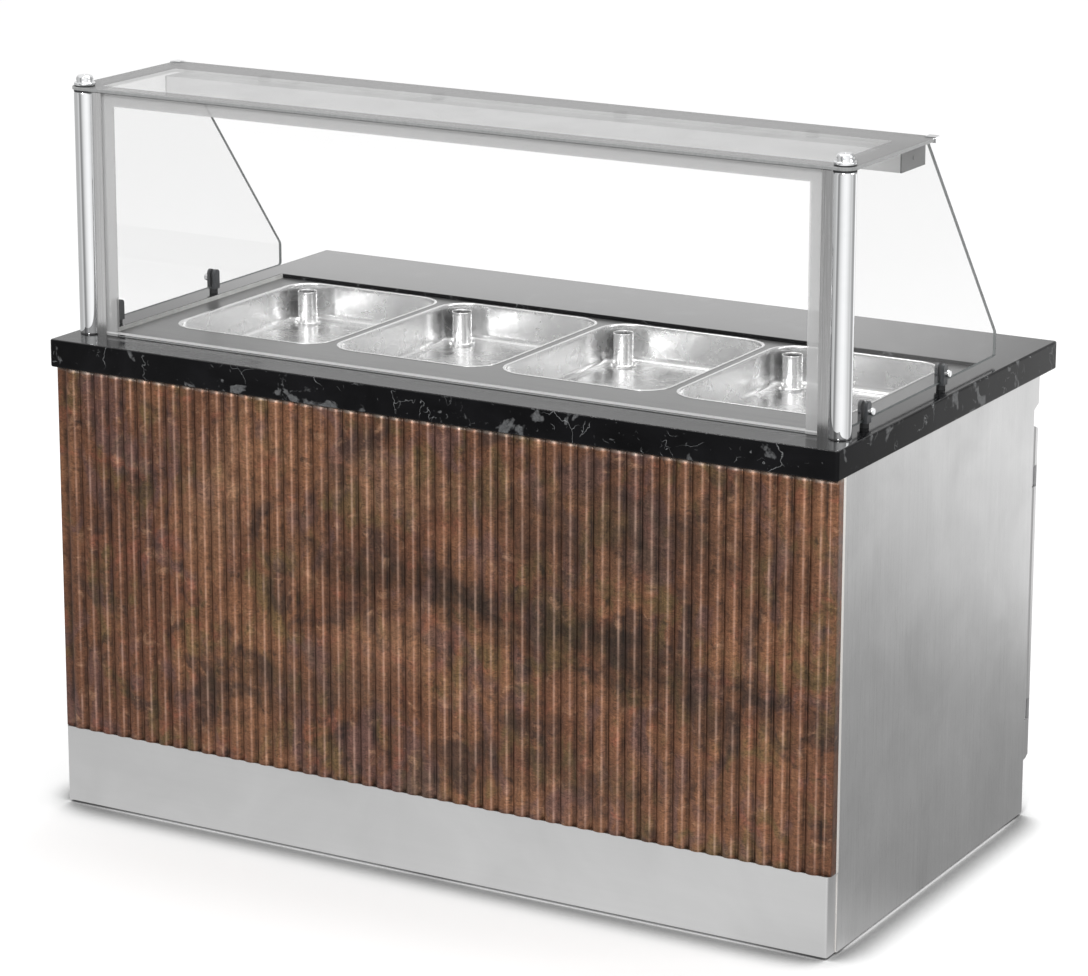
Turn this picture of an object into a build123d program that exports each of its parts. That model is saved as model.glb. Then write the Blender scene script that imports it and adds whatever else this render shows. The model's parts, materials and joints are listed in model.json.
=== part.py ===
from build123d import *
import os

# Bain marie counter, in millimetres, with +Z up and the customer's side facing -Y.
# Places are measured from the middle of the length, from the front edge of the marble
# and from the floor. save() moves them so that the origin is the centre of the footprint.

# Marble top
marble_length = 1600.0
marble_depth = 925.0
marble_top_z = 895.0
marble_thickness = 52.0
marble_corner_radius = 3.0
marble_edge_radius = 2.0
cutout_margin = 53.0
cutout_front = 95.0
cutout_rear = 686.0

# Body
marble_overhang = 5.0
body_rear = 838.0
sheet = 1.5
floor_gap = 5.0
side_panel_front = 44.0
panel_lip = 18.0
upright_leg = 30.0
upright_sheet = 2.0
upright_bar_width = 34.0

# Ribbed copper front
rib_crest_y = 7.0
rib_height = 7.0
rib_groove = 2.0
rib_count = 49
rib_margin = 18.5
rib_sheet = 1.2
front_return_end = 35.0
board_clearance = 0.1

# Plinth
plinth_height = 150.0
plinth_face_y = 10.0
plinth_inset = 3.0
plinth_corner_radius = 4.0
rear_plinth_lip = 8.0

# Steel deck and tanks
deck_recess = 7.0
deck_sheet = 1.5
deck_edge_radius = 2.5
tank_count = 4
tank_spacing = 28.0
tank_width = 442.0
tank_end_margin = 57.0
tank_front = 229.0
tank_corner_radius = 50.0
tank_depth = 70.0
tank_wall = 1.2
tank_rim_width = 6.0
tank_rim_thickness = 1.0
tank_fit = 0.3

# Overflow pipes, drain and heating
pipe_radius = 19.0
pipe_wall = 1.5
pipe_corner_offset = 34.0
pipe_below_deck = 8.0
socket_flange_radius = 24.0
socket_flange_thickness = 3.0
socket_body_radius = 21.5
socket_seat_depth = 12.0
socket_bore_radius = 13.0
socket_length = 34.0
running_fit = 0.05
header_radius = 16.0
header_bore_radius = 13.0
header_below_marble = 77.0
header_end = 24.0
downpipe_inset = 235.0
outlet_below_header = 96.0
valve_from_pipe = 81.0
valve_body_length = 46.0
valve_body_radius = 24.0
valve_stem_radius = 5.0
valve_stem_height = 12.0
outlet_inset = 16.0
lever_length = 88.0
lever_width = 16.0
lever_thickness = 3.0
lever_boss_radius = 10.0
lever_boss_height = 10.0
lever_lift = 4.0
heater_thickness = 3.0
heater_margin = 38.0
heater_drain_margin = 62.0

# Frame
rail_thickness = 3.0
rail_drop = 30.0
deck_ledge = 6.0
tube_wall = 2.0
cross_bar_width = 18.0
base_rail_height = 38.0
base_rail_width = 36.0
floor_sheet = 1.2
partition_sheet = 1.5
partition_flange = 12.0
mullion_half_width = 24.0
shield_below_header = 21.0
shield_sheet = 1.2
shield_hole_clearance = 3.0
foot_pad_radius = 22.0
foot_pad_height = 12.0
foot_leg_radius = 14.0
foot_inset_x = 90.0
foot_front_y = 66.0
foot_rear_inset = 32.0

# Control box along the server's side
box_face_proud = 20.0
box_depth = 66.0
box_height = 61.0
box_lip_rise = 9.0
header_sheet_drop = 82.0
header_lip = 14.0
thermostat_pitch = 150.0
control_drop = 23.0
thermostat_body_width = 34.0
thermostat_body_height = 30.0
thermostat_body_depth = 26.0
thermostat_shaft_radius = 3.0
knob_radius = 17.0
knob_depth = 14.0
knob_grip_width = 7.0
knob_grip_depth = 7.0
knob_grip_inset = 3.0
knob_edge_radius = 2.0
knob_gap = 0.5
lamp_lens_radius = 4.5
lamp_lens_offset = 32.0
lamp_lens_proud = 2.5
lamp_lens_flange = 1.5
lamp_body_depth = 20.0
rocker_from_knobs = 105.0
rocker_spacing = 60.0
rocker_length = 22.0
rocker_width = 14.0
rocker_clearance = 0.4
rocker_pivot_radius = 1.5
rocker_pivot_depth = 3.0
rocker_tilt = 10.0
rocker_end_height = 4.5
rocker_waist_height = 3.0
rocker_end_skirt = 1.0
rocker_heel_depth = 5.0
rocker_heel_half = 4.0
rocker_end_clearance = 1.2
rocker_frame_margin = 4.0
rocker_frame_thickness = 2.0
rocker_frame_depth = 16.0
gland_inset = 195.0
gland_z = 70.0
gland_bore_radius = 5.0
gland_body_radius = 9.0
gland_nut_radius = 13.0
gland_nut_length = 12.0
gland_inner_length = 14.0

# Doors
door_proud = 20.0
door_body_gap = 0.8
door_sheet = 1.2
door_finger_gap = 38.0
door_top_slant = 8.0
door_bottom_outer_z = 115.0
door_bottom_inner_z = 104.0
door_meeting_gap = 3.0
door_liner_inset = 3.0
door_centre_gap = 10.0
hinge_inset = 10.0
hinge_pin_radius = 3.0
hinge_barrel_radius = 6.5
hinge_arm_width = 8.0
hinge_height = 40.0
hinge_notch_width = 26.0
hinge_notch_clearance = 0.6
hinge_boss_height = 14.0
hinge_from_end = 70.0
hinge_bore_margin = 3.0
hinge_pin_margin = 4.0
magnet_length = 44.0
magnet_depth = 12.0
magnet_height = 12.0

# Posts and glass
post_inset = 36.0
post_y = 80.0
post_radius = 20.0
post_wall = 2.0
post_plug_height = 20.0
post_height = 450.0
post_stud_radius = 5.0
post_nut_radius = 11.0
post_nut_height = 10.0
gasket_thickness = 4.0
cap_gasket_thickness = 2.0
cap_gasket_radius = 18.5
cap_flange_radius = 19.5
cap_flange_height = 5.0
cap_flange_edge = 1.5
cap_radius = 15.5
cap_height = 18.0
cap_dome = 6.0
glass_thickness = 6.0
channel_width = 12.0
channel_reach = 39.0
channel_groove_depth = 13.0
channel_glass_gap = 0.2
top_glass_past_post = 23.0
top_glass_before_post = 22.0
top_glass_depth = 342.0
top_glass_front_radius = 22.0
top_glass_rear_radius = 10.0
top_glass_hole_radius = 6.5
side_glass_from_post = 3.0
side_glass_behind_post = 25.0
side_glass_foot_length = 605.0
side_glass_lift = 12.0
side_glass_kink_height = 57.0
side_glass_top_inset = 6.0
clip_front_inset = 63.0
clip_spacing = 310.0
clip_thickness = 16.0
clip_half_width = 9.0
clip_height = 46.0
clip_foot_height = 8.0
clip_foot_radius = 8.0
clip_screw_height = 29.0
clip_screw_radius = 7.0
clip_screw_length = 9.0
bracket_size = 21.0
bracket_plate = 2.0
bracket_corner_radius = 8.0

# Lamp under the top glass
lamp_end_gap = 11.0
lamp_past_glass = 13.0
lamp_width = 95.0
lamp_height = 38.0
lamp_pad_height = 9.0
lamp_wall = 2.0
lamp_cap_thickness = 3.0
lamp_cap_screw_radius = 4.0
lamp_cap_screw_head = 1.2
lamp_pad_count = 4
lamp_pad_radius = 12.0
diffuser_thickness = 3.0
diffuser_lip = 6.0
led_board_width = 24.0
led_board_thickness = 2.0

# Values worked out from those above
cutout_length = marble_length - 2 * cutout_margin
body_length = marble_length - 2 * marble_overhang
half_body = body_length / 2
panel_inner_x = half_body - sheet
marble_bottom_z = marble_top_z - marble_thickness
rib_pitch = (body_length - 2 * rib_margin) / rib_count
tank_pitch = (cutout_length - 2 * tank_end_margin + tank_spacing) / tank_count
tank_length = tank_pitch - tank_spacing
deck_top_z = marble_top_z - deck_recess
tank_rim_z = deck_top_z + tank_rim_thickness
tank_floor_z = tank_rim_z - tank_depth
tank_under_z = tank_floor_z - tank_wall
tank_rear = tank_front + tank_width
pipe_y = tank_rear - pipe_corner_offset
socket_top_z = tank_floor_z + socket_flange_thickness
socket_seat_z = socket_top_z - socket_seat_depth
socket_bottom_z = tank_floor_z - socket_length
pipe_top_z = deck_top_z - pipe_below_deck
sheet_level_y = rib_crest_y + rib_height
header_axis_z = marble_bottom_z - header_below_marble
downpipe_x = downpipe_inset - half_body
outlet_axis_z = header_axis_z - outlet_below_header
valve_y = pipe_y + valve_from_pipe
outlet_end_y = body_rear - outlet_inset
shield_z = header_axis_z - shield_below_header
foot_rear_y = body_rear - foot_rear_inset
upright_outer_x = panel_inner_x
upright_inner_x = upright_outer_x - upright_sheet
board_rear_y = front_return_end
cabinet_front_y = side_panel_front + upright_sheet
cabinet_rear_y = body_rear - sheet
face_y = body_rear + box_face_proud
box_front_y = face_y - box_depth
box_bottom_z = marble_bottom_z - box_height
header_sheet_bottom_z = box_bottom_z - header_sheet_drop
control_z = marble_bottom_z - control_drop
thermostat_first_x = -(tank_count - 1) / 2 * thermostat_pitch
power_rocker_x = rocker_from_knobs - thermostat_first_x
gland_x = half_body - gland_inset
door_top_outer_z = box_bottom_z - door_finger_gap
door_top_inner_z = door_top_outer_z + door_top_slant
door_inner_y = body_rear + door_body_gap
door_outer_y = body_rear + door_proud
hinge_y = door_inner_y + hinge_inset
post_x = marble_length / 2 - post_inset
post_top_z = marble_top_z + post_height
glass_top_z = post_top_z + gasket_thickness + glass_thickness
glass_under_z = post_top_z + gasket_thickness
cap_base_z = glass_top_z + cap_gasket_thickness
channel_inner_x = post_x - channel_reach
top_glass_half_length = post_x + top_glass_past_post
top_glass_front = post_y - top_glass_before_post
top_glass_rear = top_glass_front + top_glass_depth
side_glass_x = post_x + side_glass_from_post
side_glass_front = post_y + side_glass_behind_post
side_glass_rear = side_glass_front + side_glass_foot_length
side_glass_bottom_z = marble_top_z + side_glass_lift
side_glass_kink_z = marble_top_z + side_glass_kink_height
side_glass_top_rear = top_glass_rear - side_glass_top_inset
clip_front_y = side_glass_front + clip_front_inset
clip_rear_y = clip_front_y + clip_spacing
clip_top_z = marble_top_z + clip_height
clip_screw_z = marble_top_z + clip_screw_height
lamp_half_length = side_glass_x - lamp_end_gap
lamp_rear = top_glass_rear + lamp_past_glass
lamp_front = lamp_rear - lamp_width
lamp_top_z = glass_under_z - lamp_pad_height
lamp_bottom_z = lamp_top_z - lamp_height
floor_top_z = plinth_height
base_rail_top_z = floor_top_z - floor_sheet
control_face_inner_y = face_y - sheet


def save(name, shape):
    """Write one sub-part with the origin at the centre of the footprint."""
    solids = shape if isinstance(shape, list) else [shape]
    placed = [Pos(0, -marble_depth / 2, 0) * solid for solid in solids]
    whole = placed[0] if len(placed) == 1 else Compound(children=placed)
    whole.label = name
    export_step(whole, os.path.join("parts", name + ".step"))


def block(x0, x1, y0, y1, z0, z1):
    """A box between two opposite corners."""
    return Pos((x0 + x1) / 2, (y0 + y1) / 2, (z0 + z1) / 2) * Box(abs(x1 - x0), abs(y1 - y0), abs(z1 - z0))


def rod_z(x, y, radius, z0, z1):
    return Pos(x, y, (z0 + z1) / 2) * Cylinder(radius, z1 - z0)


def rod_y(x, z, radius, y0, y1):
    return Pos(x, (y0 + y1) / 2, z) * Rot(90, 0, 0) * Cylinder(radius, y1 - y0)


def rod_x(y, z, radius, x0, x1):
    return Pos((x0 + x1) / 2, y, z) * Rot(0, 90, 0) * Cylinder(radius, x1 - x0)


def rounded_prism(x0, x1, y0, y1, z0, z1, radius):
    """An upright prism on a rectangle with rounded corners."""
    outline = Pos((x0 + x1) / 2, (y0 + y1) / 2, z0) * RectangleRounded(x1 - x0, y1 - y0, radius)
    return extrude(outline, z1 - z0)


def profile_along_x(points, x0, x1):
    """A prism along X on an outline of (y, z) points."""
    outline = make_face(Polyline([(x0, y, z) for y, z in points], close=True))
    return extrude(outline, x1 - x0, dir=(1, 0, 0))


def mirrored(shape):
    """The shape and its twin on the other side of the middle of the length."""
    return [shape, mirror(shape, about=Plane.YZ)]


def tank_centres():
    first = -(tank_count - 1) / 2 * tank_pitch
    return [first + index * tank_pitch for index in range(tank_count)]


def pipe_x(centre):
    """The overflow pipe stands in the tank's rear left corner."""
    return centre - tank_length / 2 + pipe_corner_offset


def knob_centres():
    return [thermostat_first_x + index * thermostat_pitch for index in range(tank_count)]


def foot_places():
    xs = (-half_body + foot_inset_x, 0.0, half_body - foot_inset_x)
    return [(x, y) for x in xs for y in (foot_front_y, foot_rear_y)]


# Marble slab with a cut-out for the deck and a hole under each post
def make_marble():
    half = marble_length / 2
    slab = rounded_prism(-half, half, 0, marble_depth, marble_bottom_z, marble_top_z, marble_corner_radius)
    slab = fillet(slab.faces().sort_by(Axis.Z)[-1].edges(), marble_edge_radius)
    slab -= block(-cutout_length / 2, cutout_length / 2, cutout_front, cutout_rear,
                  marble_bottom_z - 1, marble_top_z + 1)
    for x in (-post_x, post_x):
        slab -= rod_z(x, post_y, post_stud_radius, marble_bottom_z - 1, marble_top_z + 1)
    save("marble_top", slab)


# Steel deck between the marble's edges, with a skirt that stands on the frame
def make_deck():
    half = cutout_length / 2
    deck = block(-half, half, cutout_front, cutout_rear, marble_bottom_z, deck_top_z)
    deck = fillet(deck.faces().sort_by(Axis.Z)[-1].edges(), deck_edge_radius)
    deck -= block(-half + deck_sheet, half - deck_sheet, cutout_front + deck_sheet, cutout_rear - deck_sheet,
                  marble_bottom_z - 1, deck_top_z - deck_sheet)
    for centre in tank_centres():
        reach = tank_length / 2 + tank_wall + tank_fit
        margin = tank_wall + tank_fit
        deck -= rounded_prism(centre - reach, centre + reach, tank_front - margin, tank_rear + margin,
                              deck_top_z - 2 * deck_sheet, deck_top_z + 1, tank_corner_radius + margin)
    save("well_surround", deck)


def tank_prism(centre, margin, z0, z1):
    half = tank_length / 2 + margin
    return rounded_prism(centre - half, centre + half, tank_front - margin, tank_rear + margin,
                         z0, z1, tank_corner_radius + margin)


# Pressed tanks whose rims lie on the deck
def make_tanks():
    for number, centre in enumerate(tank_centres(), 1):
        tank = tank_prism(centre, tank_wall, tank_under_z, tank_rim_z)
        tank += tank_prism(centre, tank_wall + tank_rim_width, deck_top_z, tank_rim_z)
        tank -= tank_prism(centre, 0, tank_floor_z, tank_rim_z + 1)
        tank -= rod_z(pipe_x(centre), pipe_y, socket_body_radius, tank_under_z - 1, tank_floor_z + 1)
        save(f"tank_{number}", tank)


# Overflow pipes that pull out of their sockets
def make_standpipes():
    for number, centre in enumerate(tank_centres(), 1):
        x = pipe_x(centre)
        pipe = rod_z(x, pipe_y, pipe_radius, socket_seat_z, pipe_top_z)
        pipe -= rod_z(x, pipe_y, pipe_radius - pipe_wall, socket_seat_z - 1, pipe_top_z + 1)
        save(f"standpipe_{number}", pipe)


def make_sockets():
    sockets = []
    for centre in tank_centres():
        x = pipe_x(centre)
        socket = rod_z(x, pipe_y, socket_flange_radius, tank_floor_z, socket_top_z)
        socket += rod_z(x, pipe_y, socket_body_radius, socket_bottom_z, tank_floor_z)
        socket -= rod_z(x, pipe_y, pipe_radius + running_fit, socket_seat_z, socket_top_z + 1)
        socket -= rod_z(x, pipe_y, socket_bore_radius, socket_bottom_z - 1, socket_top_z)
        sockets.append(socket)
    save("drain_sockets", sockets)


# One pipe run: branches from the sockets, a header, a down leg and a leg to the valve
def make_manifold():
    centres = tank_centres()
    first_x = min(downpipe_x, pipe_x(centres[0])) - header_end
    last_x = pipe_x(centres[-1]) + header_end
    valve_start = valve_y - valve_body_length / 2

    def run(radius, extra):
        pipe = rod_x(pipe_y, header_axis_z, radius, first_x + header_end - extra, last_x - header_end + extra)
        for centre in centres:
            pipe += rod_z(pipe_x(centre), pipe_y, radius, header_axis_z, socket_bottom_z)
        pipe += rod_z(downpipe_x, pipe_y, radius, outlet_axis_z, header_axis_z)
        pipe += Pos(downpipe_x, pipe_y, outlet_axis_z) * Sphere(radius)
        pipe += rod_y(downpipe_x, outlet_axis_z, radius, pipe_y, valve_start)
        return pipe

    manifold = run(header_radius, header_end)
    bore = run(header_bore_radius, header_end - sheet * 2)
    bore += rod_y(downpipe_x, outlet_axis_z, header_bore_radius, pipe_y, valve_start + 1)
    for centre in centres:
        bore += rod_z(pipe_x(centre), pipe_y, header_bore_radius, header_axis_z, socket_bottom_z + 1)
    save("drain_manifold", manifold - bore)


def make_valve():
    start = valve_y - valve_body_length / 2
    end = valve_y + valve_body_length / 2
    valve = rod_y(downpipe_x, outlet_axis_z, valve_body_radius, start, end)
    valve += rod_y(downpipe_x, outlet_axis_z, header_radius, end, outlet_end_y)
    top = outlet_axis_z + valve_body_radius + valve_stem_height
    valve += rod_z(downpipe_x, valve_y, valve_stem_radius, outlet_axis_z + valve_body_radius - 2, top)
    valve -= rod_y(downpipe_x, outlet_axis_z, header_bore_radius, start - 1, end - valve_body_length / 4)
    valve -= rod_y(downpipe_x, outlet_axis_z, header_bore_radius, end - valve_body_length / 8,
                   outlet_end_y + 1)
    save("drain_valve", valve)

    low = outlet_axis_z + valve_body_radius + lever_lift
    lever = rod_z(downpipe_x, valve_y, lever_boss_radius, low, low + lever_boss_height)
    lever += block(downpipe_x, downpipe_x + lever_length, valve_y - lever_width / 2, valve_y + lever_width / 2,
                   low + lever_boss_height - lever_thickness, low + lever_boss_height)
    lever += rod_z(downpipe_x + lever_length, valve_y, lever_width / 2,
                   low + lever_boss_height - lever_thickness, low + lever_boss_height)
    lever -= rod_z(downpipe_x, valve_y, valve_stem_radius + running_fit, low - 1, top)
    save("drain_lever", lever)


def make_heaters():
    pads = []
    for centre in tank_centres():
        half = tank_length / 2 - heater_margin
        pads.append(block(centre - half, centre + half, tank_front + heater_margin,
                          tank_rear - heater_drain_margin, tank_under_z - heater_thickness, tank_under_z))
    save("heater_pads", pads)


# A ring under the marble, with angle at its ends and square tube along its sides, and bars between the tanks
def make_top_frame():
    inner_x = cutout_length / 2 - deck_ledge
    inner_front = cutout_front + deck_ledge
    inner_rear = cutout_rear - deck_ledge
    top = marble_bottom_z
    low = top - rail_thickness
    drop = top - rail_drop
    bars = []
    for side in (-1, 1):
        flange = block(side * inner_x, side * upright_inner_x, cabinet_front_y, box_front_y, low, top)
        flange -= rod_z(side * post_x, post_y, post_stud_radius, low - 1, top + 1)
        web = block(side * (upright_inner_x - rail_thickness), side * upright_inner_x,
                    cabinet_front_y, box_front_y, drop, low)
        bars.append(flange + web)
    for y in (inner_front - rail_drop, inner_rear):
        tube = block(-inner_x, inner_x, y, y + rail_drop, drop, top)
        tube -= block(-inner_x - 1, inner_x + 1, y + tube_wall, y + rail_drop - tube_wall,
                      drop + tube_wall, top - tube_wall)
        bars.append(tube)
    for index in range(tank_count - 1):
        x = (index - (tank_count - 2) / 2) * tank_pitch
        bars.append(block(x - cross_bar_width / 2, x + cross_bar_width / 2, inner_front, inner_rear, low, top))
    save("top_frame", bars)


def make_uprights():
    uprights = []
    for side in (-1, 1):
        outer = side * upright_outer_x
        inner = side * upright_inner_x
        leg = block(outer, inner, side_panel_front, side_panel_front + upright_leg, floor_gap, marble_bottom_z)
        bar = block(side * half_body, side * (half_body - upright_bar_width), front_return_end,
                    side_panel_front, plinth_height, marble_bottom_z)
        bar += block(outer, side * (half_body - upright_bar_width), side_panel_front,
                     cabinet_front_y, plinth_height, marble_bottom_z)
        uprights.append(leg + bar)
        top = box_bottom_z
        rear = block(outer, inner, cabinet_rear_y - upright_leg, cabinet_rear_y, floor_gap, top)
        rear += block(inner, outer - side * upright_leg, cabinet_rear_y - upright_sheet, cabinet_rear_y,
                      floor_gap, top)
        uprights.append(rear)
    save("corner_uprights", uprights)


# Base rails carried by six feet
def make_base():
    top = base_rail_top_z
    low = top - base_rail_height
    outer_x = upright_inner_x
    front = cabinet_front_y
    rear = cabinet_rear_y - upright_sheet
    rails = []

    def angle(x0, x1, y0, y1, web):
        flange = block(x0, x1, y0, y1, top - rail_thickness, top)
        return flange + web

    for side in (-1, 1):
        web = block(side * (outer_x - rail_thickness), side * outer_x, front, rear, low, top - rail_thickness)
        rails.append(angle(side * (outer_x - base_rail_width), side * outer_x, front, rear, web))
    reach = outer_x - base_rail_width
    for y, step in ((front, 1), (rear, -1)):
        web = block(-reach, reach, y, y + step * rail_thickness, low, top - rail_thickness)
        rails.append(angle(-reach, reach, y, y + step * base_rail_width, web))
    web = block(base_rail_width / 2 - rail_thickness, base_rail_width / 2, front + base_rail_width,
                rear - base_rail_width, low, top - rail_thickness)
    rails.append(angle(-base_rail_width / 2, base_rail_width / 2, front + base_rail_width,
                       rear - base_rail_width, web))
    save("base_frame", rails)

    feet = []
    for x, y in foot_places():
        foot = rod_z(x, y, foot_pad_radius, 0, foot_pad_height)
        foot += rod_z(x, y, foot_leg_radius, foot_pad_height, top - rail_thickness)
        feet.append(foot)
    save("levelling_feet", feet)


def make_cabinet():
    floor = block(-upright_inner_x, upright_inner_x, cabinet_front_y, cabinet_rear_y - upright_sheet,
                  floor_top_z - floor_sheet, floor_top_z)
    save("cabinet_floor", floor)

    rear = cabinet_rear_y - upright_sheet
    half = partition_sheet / 2
    partition = block(-half, half, cabinet_front_y, cabinet_rear_y, floor_top_z, header_sheet_bottom_z)
    partition += block(-half, half, cabinet_front_y, rear - header_lip, header_sheet_bottom_z, shield_z)
    partition += block(-half, partition_flange, cabinet_front_y, rear, floor_top_z,
                       floor_top_z + partition_sheet)
    partition += block(-mullion_half_width, mullion_half_width, cabinet_rear_y, body_rear, floor_top_z,
                       box_bottom_z)
    save("cabinet_partition", partition)

    shield = block(-upright_inner_x, upright_inner_x, cabinet_front_y, rear - sheet, shield_z,
                   shield_z + shield_sheet)
    shield -= rod_z(downpipe_x, pipe_y, header_radius + shield_hole_clearance, shield_z - 1, shield_z + 3)
    save("service_shield", shield)

    header = block(-upright_inner_x, upright_inner_x, cabinet_rear_y - upright_sheet - sheet,
                   cabinet_rear_y - upright_sheet, header_sheet_bottom_z, box_bottom_z)
    header += block(-upright_inner_x, upright_inner_x, cabinet_rear_y - upright_sheet - header_lip,
                    cabinet_rear_y - upright_sheet, header_sheet_bottom_z, header_sheet_bottom_z + sheet)
    save("rear_header", header)


def make_side_panels():
    top = marble_bottom_z
    panel = block(panel_inner_x, half_body, side_panel_front, body_rear, floor_gap, top)
    panel += block(half_body - panel_lip, panel_inner_x, cabinet_rear_y, body_rear, floor_gap, box_bottom_z)
    panel -= block(panel_inner_x - 1, half_body + 1, box_front_y, body_rear + 1, box_bottom_z, top + 1)
    save("side_panels", mirrored(panel))


def rib_outline():
    """The front line of the sheet: flat ends, and one shallow arc for each rib."""
    crown = rib_pitch - rib_groove
    start = -rib_count * rib_pitch / 2
    lines = []
    x = -half_body
    for index in range(rib_count):
        left = start + index * rib_pitch + rib_groove / 2
        right = left + crown
        lines.append(Line((x, sheet_level_y), (left, sheet_level_y)))
        lines.append(ThreePointArc((left, sheet_level_y), ((left + right) / 2, rib_crest_y),
                                   (right, sheet_level_y)))
        x = right
    lines.append(Line((x, sheet_level_y), (half_body, sheet_level_y)))
    return lines


# Ribbed copper sheet with returns round the board behind it
def make_front():
    back = sheet_level_y + rib_sheet
    inner = half_body - rib_sheet
    lines = rib_outline()
    corners = [(half_body, sheet_level_y), (half_body, front_return_end), (inner, front_return_end),
               (inner, back), (-inner, back), (-inner, front_return_end), (-half_body, front_return_end),
               (-half_body, sheet_level_y)]
    lines.append(Polyline(corners))
    outline = make_face(Curve() + lines)
    save("ribbed_front", extrude(Pos(0, 0, plinth_height) * outline, marble_bottom_z - plinth_height))

    board = block(-inner + board_clearance, inner - board_clearance, back + board_clearance, board_rear_y,
                  plinth_height, marble_bottom_z)
    save("front_board", board)


def make_plinths():
    outer_x = half_body - plinth_inset
    inner_x = outer_x - sheet
    shell = rounded_prism(-outer_x, outer_x, plinth_face_y, side_panel_front * 2, floor_gap, plinth_height,
                          plinth_corner_radius)
    shell -= rounded_prism(-inner_x, inner_x, plinth_face_y + sheet, side_panel_front * 2 + 1, floor_gap - 1,
                           plinth_height - sheet, plinth_corner_radius - sheet)
    shell -= block(-outer_x - 1, outer_x + 1, side_panel_front, side_panel_front * 3, 0, plinth_height + 1)
    save("front_plinth", shell)

    inner = half_body - panel_lip
    plate = block(-inner, inner, cabinet_rear_y, body_rear, floor_gap, floor_top_z)
    lip_half = upright_outer_x - upright_leg - sheet
    plate += block(-lip_half, lip_half, cabinet_rear_y - rear_plinth_lip, cabinet_rear_y, floor_gap,
                   floor_gap + sheet)
    plate -= rod_y(gland_x, gland_z, gland_body_radius, cabinet_rear_y - 1, body_rear + 1)
    save("rear_plinth", plate)

    gland = rod_y(gland_x, gland_z, gland_nut_radius, body_rear, body_rear + gland_nut_length)
    gland += rod_y(gland_x, gland_z, gland_body_radius, cabinet_rear_y - gland_inner_length, body_rear)
    gland -= rod_y(gland_x, gland_z, gland_bore_radius, cabinet_rear_y - gland_inner_length - 1,
                   body_rear + gland_nut_length + 1)
    save("cable_gland", gland)


def box_section(inset):
    """Outline of the control box: flat face, and a lip that slants in to the body."""
    lip_z = box_bottom_z + box_lip_rise
    return [(box_front_y + inset, box_bottom_z + inset), (body_rear, box_bottom_z + inset),
            (face_y - inset, lip_z + inset * 0.6), (face_y - inset, marble_bottom_z - inset),
            (box_front_y + inset, marble_bottom_z - inset)]


def rocker_outline():
    """A rocker's section about its pivot, level: two raised ends over a short heel."""
    end = rocker_length / 2 - rocker_end_clearance + rocker_clearance
    return [(-end, rocker_end_height), (0, rocker_waist_height), (end, rocker_end_height),
            (end, -rocker_end_skirt), (rocker_heel_half, -rocker_heel_depth),
            (-rocker_heel_half, -rocker_heel_depth), (-end, -rocker_end_skirt)]


def rocker_places():
    return [power_rocker_x, power_rocker_x + rocker_spacing]


# Control box with its switches, lamps and thermostats
def make_control_box():
    box = profile_along_x(box_section(0), -half_body, half_body)
    box -= profile_along_x(box_section(sheet), -half_body + sheet, half_body - sheet)
    box -= block(-half_body + upright_leg, half_body - upright_leg, box_front_y - 1, box_front_y + sheet * 2,
                 box_bottom_z + rail_thickness, marble_bottom_z - rail_thickness)
    through = (control_face_inner_y - 1, face_y + 1)
    for x in knob_centres():
        box -= rod_y(x, control_z, thermostat_shaft_radius * 2, *through)
        box -= rod_y(x + lamp_lens_offset, control_z, lamp_lens_radius, *through)
    for x in rocker_places():
        half = rocker_length / 2 + rocker_frame_margin / 2
        high = rocker_width / 2 + rocker_frame_margin / 2
        box -= block(x - half, x + half, *through, control_z - high, control_z + high)
    save("control_box", box)


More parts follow.
